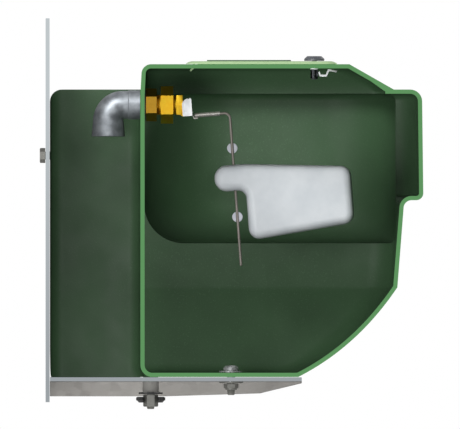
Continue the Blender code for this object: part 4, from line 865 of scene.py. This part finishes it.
def makeValveBody():
    v = valve
    tail = nodeBox("valve_body")[0].x
    hexX = nodeBox("backnut")[1].x + v["clamp"]
    nozzleX = hexX + v["hexLength"]
    neckX, face = nozzleX + v["neck"], nozzleX + v["length"]
    root, thin = v["thread"] - v["ridge"], v["nozzle"] - v["groove"]
    cut, edge = v["neckCut"], v["edge"]
    profile = [(v["bore"], tail), (root, tail), (root, hexX), (v["flats"] / 2, hexX), (None, hexX, 0),
               (None, nozzleX, 0), (v["flats"] / 2, nozzleX), (thin + cut, nozzleX), (thin, nozzleX + cut),
               (thin, neckX), (v["nozzle"], neckX), (v["nozzle"], face - edge), (v["nozzle"] - edge, face),
               (v["jet"], face), (v["jet"], face - v["jetLength"]), (v["bore"], face - v["jetLength"])]
    body = newPiece("valveBody", revolve(profile, (0, 0, v["z"]), (1, 0, 0), flats=v["flats"],
                                         turn=metric["cornerUp"]))
    addThread(body, (tail + v["pitch"] * 0.5, 0, v["z"]), hexX - tail - v["pitch"],
              (v["thread"], v["ridge"], v["pitch"]), brass, alongX)
    half = v["nozzle"] - v["blockIn"]  # the nozzle's head is square, with a flat face to the section
    block = newPiece("block", boxBetween((neckX, -half, v["z"] - half),
                                         (face - v["blockIn"], half, v["z"] + half)))
    combine(body, bevelled(block, v["blockEdge"]), "UNION")
    (px, pz), (radius, half) = v["pivot"], v["lug"]
    withBar(body, radius, (px, -half, pz), (px, half, pz), "UNION")
    rise = radius * v["armShare"]
    withBox(body, (face - cutPast, -half, pz - rise), (px, half, pz + rise), "UNION")
    withBar(body, v["pinHole"], (px, -half - overlap, pz), (px, half + overlap, pz))
    return tidyPiece(body, brass, smooth=28)


takePlace(makeValveBody(), "valve_body", "bowl")
# the backnut takes the darker copy of the brass, as painted shade
makeNut("backnut", (1, 0, 0), valve["nutFlats"], tub["inlet"][0], shadedBrass, "bowl",
        metric["cornerUp"], chamfer=0)
print("elbow and valve made")


# lever: sleeve, rod and clips, and the float, are drawn in its own square frame, which leans by the tilt
lever = {"tilt": math.radians(4.27), "drop": 0.00255, "sleeve": (0.0088, 0.0344, 0.0022), "rod": 0.0013,
         "rodX": 0.0441, "bend": 0.0055, "rodStart": 0.0098, "rodEnd": -0.1558, "stops": (-0.0380, -0.1069),
         "stopRadius": 0.00525, "stopThick": 0.0048, "groove": 0.0016,
         "skin": (0.0001, 0.0012, 0.0004), "pinShort": 0.0014}
leverPlace = (Matrix.Translation((valve["pivot"][0], 0, valve["pivot"][1]))
              @ Matrix.Rotation(-lever["tilt"], 4, "Y"))


def makeSleeve():
    start, end, radius = lever["sleeve"]
    bore, lip = lever["rod"] + 0.0003, 0.0003
    profile = ringProfile(bore, radius, 0, end - start, lip)
    bm = revolve(profile, (start, 0, -lever["drop"]), (1, 0, 0), steps=40)
    bm.transform(leverPlace)
    return newPiece("leverSleeve", bm, sleeveSteel)


def makeRod():
    l = lever
    z, bend, tip = -l["drop"], l["bend"], 0.0004
    centre = Vector((l["rodX"] - bend, 0, z - bend))
    stations = [(Vector((l["rodStart"], 0, z)), Vector((1, 0, 0)), l["rod"])]
    for i in range(17):
        a = math.radians(90 - 90 * i / 16)
        stations.append((centre + bend * Vector((math.cos(a), 0, math.sin(a))),
                         Vector((math.sin(a), 0, -math.cos(a))), l["rod"]))
    for drop, radius in ((tip, l["rod"]), (0, l["rod"] - tip)):
        stations.append((Vector((l["rodX"], 0, l["rodEnd"] + drop)), Vector((0, 0, -1)), radius))
    bm = sweep(stations, steps=32)
    bm.transform(leverPlace)
    return newPiece("floatRod", bm, rodSteel)


def makeStop(name, z):
    l = lever
    front, edge = -l["rod"] * 0.3, 0.0005
    radius = l["stopRadius"]
    profile = ringProfile(0, radius, 0, l["stopThick"], edge)
    disc = newPiece(name, revolve(profile, (l["rodX"], front, z), (0, 1, 0)))
    withBar(disc, l["groove"], (l["rodX"], 0, z - radius - overlap), (l["rodX"], 0, z + radius + overlap))
    disc.data.transform(leverPlace)
    return tidyPiece(disc, clipPlastic)


def plugClapper(piece):  # skins over the ends of its pin hole
    low, high = nodeBox("clapper")
    (px, pz), (under, deep, over) = valve["pivot"], lever["skin"]
    for y0, y1 in ((low.y + under, low.y + deep), (high.y - deep, high.y - under)):
        withBar(piece, valve["pinHole"] + over, (px, y0, pz), (px, y1, pz), "UNION")
    return tidyPiece(piece, acetal)


def makePin():
    low, high = nodeBox("pivot_pin")
    (px, pz), short = valve["pivot"], lever["pinShort"]
    pin = barBetween((high.z - low.z) / 2, (px, low.y + short, pz), (px, high.y - short, pz))
    return newPiece("pivotPinFine", pin, steelLevel)


takePlace(makeSleeve(), "lever_sleeve", "lever")
takePlace(makeRod(), "float_rod", "lever")
for name, z in zip(("stop_upper", "stop_lower"), lever["stops"]):
    takePlace(makeStop(name + "Fine", z), name, "lever", glint=False)
takePlace(plugClapper(softenNode("clapper", acetal, 0.0006)), "clapper", "lever")
takePlace(makePin(), "pivot_pin", "lever")
takePlace(softenNode("lever_strap", sleeveSteel, 0.0002), "lever_strap", "lever")


# float: blow-moulded in two halves, with soft edges and the mould's seam round its middle
floatBody = {"half": 0.0260, "edge": 0.0080, "armEnd": 0.0245, "armTop": -0.0551, "armBottom": -0.0803,
             "armRound": 0.0120, "crook": 0.0085, "rear": 0.0550, "front": 0.1604, "topFall": 0.0921,
             "bottom": -0.1311, "bottomRise": 0.0971, "round": 0.0105, "seam": 0.0004,
             "seamHalf": (0.0010, 0.0003), "bore": 0.0017}


def insetOutline(points, distance):
    moved = []
    for i, here in enumerate(points):
        into = (here - points[i - 1]).normalized()
        out = (points[(i + 1) % len(points)] - here).normalized()
        first, second = Vector((into.y, -into.x)), Vector((out.y, -out.x))
        middle = (first + second).normalized()
        moved.append(here + middle * (distance / max(middle.dot(first), 0.5)))
    return moved


def makeFloat():
    f = floatBody
    long = f["front"] - f["rear"]
    outline = roundedOutline([(f["armEnd"], f["armBottom"], f["armRound"]),
                              (f["armEnd"], f["armTop"], f["armRound"]), (f["rear"], f["armTop"], 0),
                              (f["front"], f["armTop"] - f["topFall"] * long, f["round"]),
                              (f["front"], f["bottom"] + f["bottomRise"] * long, f["round"]),
                              (f["rear"], f["bottom"], f["round"]), (f["rear"], f["armBottom"], f["crook"])])
    rings = []
    for side in (-1, 1):
        for i in (range(10, -1, -1) if side < 0 else range(11)):
            a = math.radians(9 * i)
            y = side * (f["half"] - f["edge"] * (1 - math.sin(a)))
            inset = f["edge"] * (1 - math.cos(a))
            rings.append([Vector((p.x, y, p.y)) for p in insetOutline(outline, inset)])
        if side < 0:  # the seam's small ridge
            foot, crest = f["seamHalf"]
            for y, out in ((-foot, 0.0), (-crest, -f["seam"]), (crest, -f["seam"]), (foot, 0.0)):
                rings.append([Vector((p.x, y, p.y)) for p in insetOutline(outline, out)])
    body = newPiece("floatBody", loft(rings))
    x = lever["rodX"]
    withBar(body, f["bore"], (x, 0, f["armBottom"] - cutPast), (x, 0, f["armTop"] + cutPast))
    body.data.transform(leverPlace)
    return tidyPiece(body, floatPlastic)


takePlace(makeFloat(), "float", "float_body", glint=False)
print("lever and float made")


# hatch lid: a thin plate with sloping edges and a raised pad in the tub's darker green, a plug under it, a
# hook at the rear and the latch's hole
lid = {"rear": 0.1404, "front": 0.2914, "low": 0.3134, "thick": 0.0027, "slope": 0.0070, "half": 0.0400,
       "corner": 0.0100, "rim": 0.0004, "plug": (0.1520, 0.2980, 0.0356, 0.3113), "plugIn": 0.0005,
       "steepFoot": 0.35, "endShare": 0.4,
       "pad": (0.1614, 0.0840, 0.0130, 0.0012), "padCorner": 0.0040, "padEdge": 0.0003,
       "hook": (0.0080, 0.0018, 0.0080, 58, 6), "hole": 0.0028}


def makeLid():
    d = lid
    low, high, rings = d["low"], d["low"] + d["thick"], []
    rim = low + d["rim"]
    levels = [(low, 0.0), (rim, 0.0)]
    for i in range(7):  # the slope runs into the top by a soft edge
        s, a = i / 6, math.pi / 2 * i / 6
        inward = (1 - math.cos(a)) * d["steepFoot"] + s * (1 - d["steepFoot"])
        levels.append((rim + (high - rim) * math.sin(a), d["slope"] * inward))
    for z, draw in levels:
        half, corner = d["half"] - draw * d["endShare"], d["corner"] - draw * d["endShare"]
        rings.append(planRing(z, d["rear"] + draw, d["front"] - draw, (half, half), (corner, corner)))
    plate = newPiece("hatchLid", loft(rings))
    x0, x1, half, z0 = d["plug"]
    plugFront = d["front"] - d["plugIn"]
    withBox(plate, (x0, -half, z0), (plugFront, half, low + overlap), "UNION")
    withBox(plate, (plugFront - overlap, -half, z0), (x1, half, tub["hoodTop"]), "UNION")
    rear, long, padHalf, rise = d["pad"]
    steps = ((high - overlap, 0), (high + rise - d["padEdge"], 0), (high + rise, d["padEdge"]))
    pad = newPiece("pad", loft([planRing(z, rear + draw, rear + long - draw, (padHalf - draw,) * 2,
                                         (d["padCorner"],) * 2) for z, draw in steps]), tubGreen)
    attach(pad, "lid")
    radius, thick, hookHalf, sweepDegrees, startDegrees = d["hook"]
    inner, outer, rings = radius - thick / 2, radius + thick / 2, []
    for i in range(17):
        a = math.radians(startDegrees - (sweepDegrees + startDegrees) * i / 16)
        spots = [(inner, -hookHalf), (outer, -hookHalf), (outer, hookHalf), (inner, hookHalf)]
        rings.append([Vector((d["rear"] + r * math.cos(a), y, low + r * math.sin(a))) for r, y in spots])
    combine(plate, newPiece("hook", loft(rings)), "UNION")
    withBar(plate, d["hole"], (latch["x"], 0, z0 - overlap), (latch["x"], 0, high + overlap))
    return tidyPiece(plate, lidGreen)


latch = {"x": 0.2687, "radius": 0.0101, "chamfer": 0.0028, "slot": (0.0030, 0.0018), "shank": 0.0025,
         "tip": 0.0004, "edge": 0.0003, "hole": 0.0028}


def makeLatchBolt():
    low, high = nodeBox("latch_bolt")
    seat = lid["low"] + lid["thick"] + bracket["gap"]
    wide, cut, shank, tip, edge = [latch[key] for key in ("radius", "chamfer", "shank", "tip", "edge")]
    profile = [(0, low.z), (shank - tip, low.z), (shank, low.z + tip), (shank, seat), (wide - edge, seat),
               (wide, seat + edge), (wide, high.z - cut), (wide - cut, high.z), (0, high.z)]
    bolt = newPiece("latchBolt", revolve(profile, (latch["x"], 0, 0), (0, 0, 1)))
    across, deep = latch["slot"]
    x = latch["x"]
    withBox(bolt, (x - wide, -across / 2, high.z - deep), (x + wide, across / 2, high.z + overlap))
    return tidyPiece(bolt, nylonGrey, smooth=28)


takePlace(makeLid(), "hatch_lid", "lid", glint=False)
takePlace(makeLatchBolt(), "latch_bolt", "latch")
for node, material, slot, steps in (("latch_collar", acetal, "white_plastic", 72),
                                    ("latch_nut", blackSteel, "dark_nylon", 10)):  # the nut has ten flats
    low, high = nodeBox(node)
    wide, _, tall = high - low
    profile = ringProfile(latch["hole"], wide / 2, 0, tall, latch["edge"])
    spun = revolve(profile, (latch["x"], 0, low.z), (0, 0, 1), steps, turn=math.pi / 10)
    piece = newPiece(node + "Fine", spun, material, smooth=20)
    takePlace(piece, node, "latch")
# the tongue's near-white zinc carries a painted highlight
takePlace(softenNode("latch_tongue", highlitSpringSteel, 0.0003), "latch_tongue", "latch")
print("lid and latch made")


# drain plug: nut and stud, and a black hand knob with ribs round it
knob = {"radius": 0.0146, "ribs": 36, "ribWide": 0.0016, "chamfer": 0.0022, "hole": 0.0078,
        "edge": 0.0006, "slotIn": 0.0003, "coreShare": 0.4, "sideShare": 0.6, "ribShare": 0.52}


def makeKnob():
    low, high = nodeBox("drain_knob")
    radius, height = knob["radius"] - knob["ribWide"] * knob["coreShare"], high.z - low.z
    profile = [(knob["hole"], 0), (radius - knob["edge"], 0), (radius, knob["edge"]),
               (radius, height * knob["sideShare"]),
               (radius - knob["chamfer"], height), (knob["hole"], height)]
    core = newPiece("drainKnob", revolve(profile, (tub["drainX"], 0, high.z), (0, 0, -1)))
    long = height * knob["ribShare"]
    values = {"Count": knob["ribs"], "Radius": knob["radius"] - knob["ribWide"] / 2, "Width": knob["ribWide"],
              "Height": long, "Finish": nylonBlack}
    ribs = grow(ribTree, values, Matrix.Translation((tub["drainX"], 0, high.z - knob["edge"] - long / 2)))
    combine(core, ribs, "UNION")
    slot = knob["hole"] - knob["slotIn"]
    withBox(core, (tub["drainX"] - slot, -knob["radius"] - cutPast, low.z - cutPast),
            (tub["drainX"] + slot, 0, high.z + cutPast))
    return tidyPiece(core, nylonBlack, smooth=30)


def makeDrainStud():
    low, high = nodeBox("drain_stud")
    m = metric
    profile = ringProfile(0, m["shank"] - m["ridge"], low.z, high.z, m["rootCut"])
    stud = newPiece("drainStud", revolve(profile, (tub["drainX"], 0, 0), (0, 0, 1)))
    # the stud under the shelf takes the darker copy of the zinc, as painted shade
    return addThread(stud, (tub["drainX"], 0, low.z + m["pitch"]), high.z - low.z - m["pitch"] * 2,
                     (m["shank"], m["ridge"], m["pitch"]), shadedDullZinc)


# a rubber sheet keeps the tub's floor off the zinc, and a grey sleeve covers its spout and stands in for the
# soft shadow there as a painted shadow
rubberParts = {"sheetHalf": 0.1100, "sleeve": (0.0001, 0.0006), "sleeveTop": -0.0042}
sheetHalf, (near, far), sleeveTop = rubberParts["sheetHalf"], rubberParts["sleeve"], rubberParts["sleeveTop"]
chafeSheet = newPiece("chafeSheet", boxBetween((tub["rear"], -sheetHalf, 0.0),
                                               (tub["nicheEnd"], sheetHalf, tub["bottom"])), rubber)
spoutRadius, spoutEnd = tub["spout"]
sleeveProfile = [(spoutRadius + out, z) for out, z in ((near, spoutEnd), (far, spoutEnd), (far, sleeveTop),
                                                       (near, sleeveTop))]
spoutShadowSleeve = newPiece("spoutShadowSleeve", revolve(sleeveProfile, (tub["drainX"], 0, 0), (0, 0, 1)), sleeveShadowGrey)
for piece in (chafeSheet, spoutShadowSleeve):
    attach(piece, "bowl")
takePlace(makeDrainStud(), "drain_stud", "drain_plug")
takePlace(makeKnob(), "drain_knob", "drain_plug")
# the drain nut under the shelf takes the darker copy of the zinc, as painted shade
makeNut("drain_nut", (0, 0, -1), metric["flats"], metric["hole"], shadedDullZinc, "drain_plug")
for name in carried:
    shadowMakers.objects.link(nodes[name])


# section faces: thin sheets inside the cut walls, which only the section camera can see
def sectionFace(source, name, material):
    bm = bmesh.new()
    bm.from_mesh(source.data)
    bmesh.ops.remove_doubles(bm, verts=bm.verts, dist=weld)
    shape = list(bm.verts) + list(bm.edges) + list(bm.faces)
    cut = bmesh.ops.bisect_plane(bm, geom=shape, plane_co=(0, sectionY + behindCut, 0), plane_no=(0, 1, 0))
    fill, known = bmesh.new(), {}
    for edge in dict.fromkeys(e for e in cut["geom_cut"] if isinstance(e, bmesh.types.BMEdge)):
        ends = []
        for v in edge.verts:
            if v not in known:
                known[v] = fill.verts.new(v.co)
            ends.append(known[v])
        fill.edges.new(ends)
    bmesh.ops.triangle_fill(fill, edges=list(fill.edges), use_beauty=False, normal=(0, -1, 0))
    mesh = bpy.data.meshes.new(name)
    fill.to_mesh(mesh)
    fill.free()
    bm.free()
    mesh.materials.append(material)
    made = intoScene(name, mesh)
    return made


for source, name, material in ((tubPiece, "cutTub", glowingCutGreen), (wallPlate, "cutWallPlate", glowingCutGrey),
                               (shelf, "cutShelf", glowingCutGrey)):
    face = sectionFace(source, name, material)
    print(name, len(face.data.polygons), "faces")


# the studio: a pale floor well below the part, a white world, and the lights
studio = {"floorRadius": 7.0, "floorCentre": (0.19, 0, -0.30), "floorColour": "#F4F4F2", "worldLight": 0.50,
          "middle": (0.20, 0.0, 0.16)}
floorMesh = bpy.data.meshes.new("floor")
floorBm = bmesh.new()
bmesh.ops.create_circle(floorBm, cap_ends=True, segments=96, radius=studio["floorRadius"],
                        matrix=Matrix.Translation(studio["floorCentre"]))
floorBm.to_mesh(floorMesh)
floorBm.free()
floor = intoScene("floor", floorMesh)
paleFloor, _, floorShader, _ = newMaterial("paleFloor", 0.9)
floorShader.inputs["Base Color"].default_value = linear(studio["floorColour"])
floorMesh.materials.append(paleFloor)

world = bpy.data.worlds.new("studio")
scene.world = world
world.use_nodes = True
tree = world.node_tree
background = tree.nodes["Background"]
rays = addNode(tree, "ShaderNodeLightPath").outputs["Is Camera Ray"]
seen = addNode(tree, "ShaderNodeMapRange", {"To Min": studio["worldLight"], "To Max": 1.0}, {"Value": rays})
tree.links.new(seen.outputs["Result"], background.inputs["Strength"])
background.inputs["Color"].default_value = (1, 1, 1, 1)


def aimedLight(name, kind, spot, target, watts):
    made = intoScene(name, bpy.data.lights.new(name, kind))
    made.data.energy = watts
    made.location = spot
    made.rotation_euler = (Vector(target) - Vector(spot)).to_track_quat("-Z", "Y").to_euler()
    return made


def softLight(name, spot, target, size, watts):
    made = aimedLight(name, "AREA", spot, target, watts)
    made.data.shape, made.data.size = "DISK", size
    made.visible_camera = False
    return made


softLight("keyLight", (-0.7, -1.5, 1.5), studio["middle"], 1.0, 34)
softLight("fillLight", (1.8, 1.2, 1.1), studio["middle"], 1.2, 24)
sectionLight = softLight("sectionLight", (-0.25, -1.20, -0.03), (0.20, 0.05, 0.20), 0.7, 7.6)
nicheLight = softLight("nicheLight", (-0.22, -1.10, 0.20), (0.10, 0.05, 0.18), 0.4, 4.5)

# a soft pool of light on the far wall of the basin, under the deck
pool = {"from": (0.226, -1.10, 0.225), "to": (0.222, 0.281, 0.212), "watts": 11, "size": 0.03, "degrees": 6.4,
        "blend": 0.40}
poolLight = aimedLight("poolLight", "SPOT", pool["from"], pool["to"], pool["watts"])
poolLight.data.shadow_soft_size, poolLight.data.spot_blend = pool["size"], pool["blend"]
poolLight.data.spot_size = math.radians(pool["degrees"])

# the cut-away front half would shade the inside, so it casts no shadow from the section's own lights
glintLight = softLight("glintLight", (-0.30, -1.20, 0.95), (0.16, 0.0, 0.22), 0.45, 6.5)
frontLight = softLight("frontLight", (0.14, -1.50, 0.26), (0.16, 0.0, 0.22), 0.26, 1.25)
for light in (glintLight, frontLight):
    light.light_linking.receiver_collection = glintTakers
tubOnly = bpy.data.collections.new("poolPiece")
tubOnly.objects.link(tubPiece)
poolLight.light_linking.receiver_collection = tubOnly
for light in (sectionLight, poolLight, glintLight, frontLight):
    light.light_linking.blocker_collection = shadowMakers
nicheMakers = bpy.data.collections.new("nicheShadows")  # the wall plate shades the niche towards the wall
nicheMakers.objects.link(wallPlate)
nicheMakers.children.link(shadowMakers)
nicheLight.light_linking.blocker_collection = nicheMakers

camera = intoScene("sectionCamera", bpy.data.cameras.new("sectionCamera"))
scene.camera = camera
# one pixel is one millimetre, and the lens and sensor only set how far away the camera stands
view = {"lens": 1400, "sensor": 36, "width": 0.460, "x": 0.1844, "z": 0.1628, "far": 40}
camera.data.lens, camera.data.sensor_width = view["lens"], view["sensor"]
camera.data.type, camera.data.ortho_scale = "ORTHO", view["width"]  # the photograph is a parallel view
distance = view["width"] * view["lens"] / view["sensor"]
camera.location = (view["x"], sectionY - distance, view["z"])
camera.rotation_euler = (math.pi / 2, 0, 0)
camera.data.clip_start = distance
camera.data.clip_end = distance + view["far"]
print("camera", round(distance, 3), "m in front of the section plane")
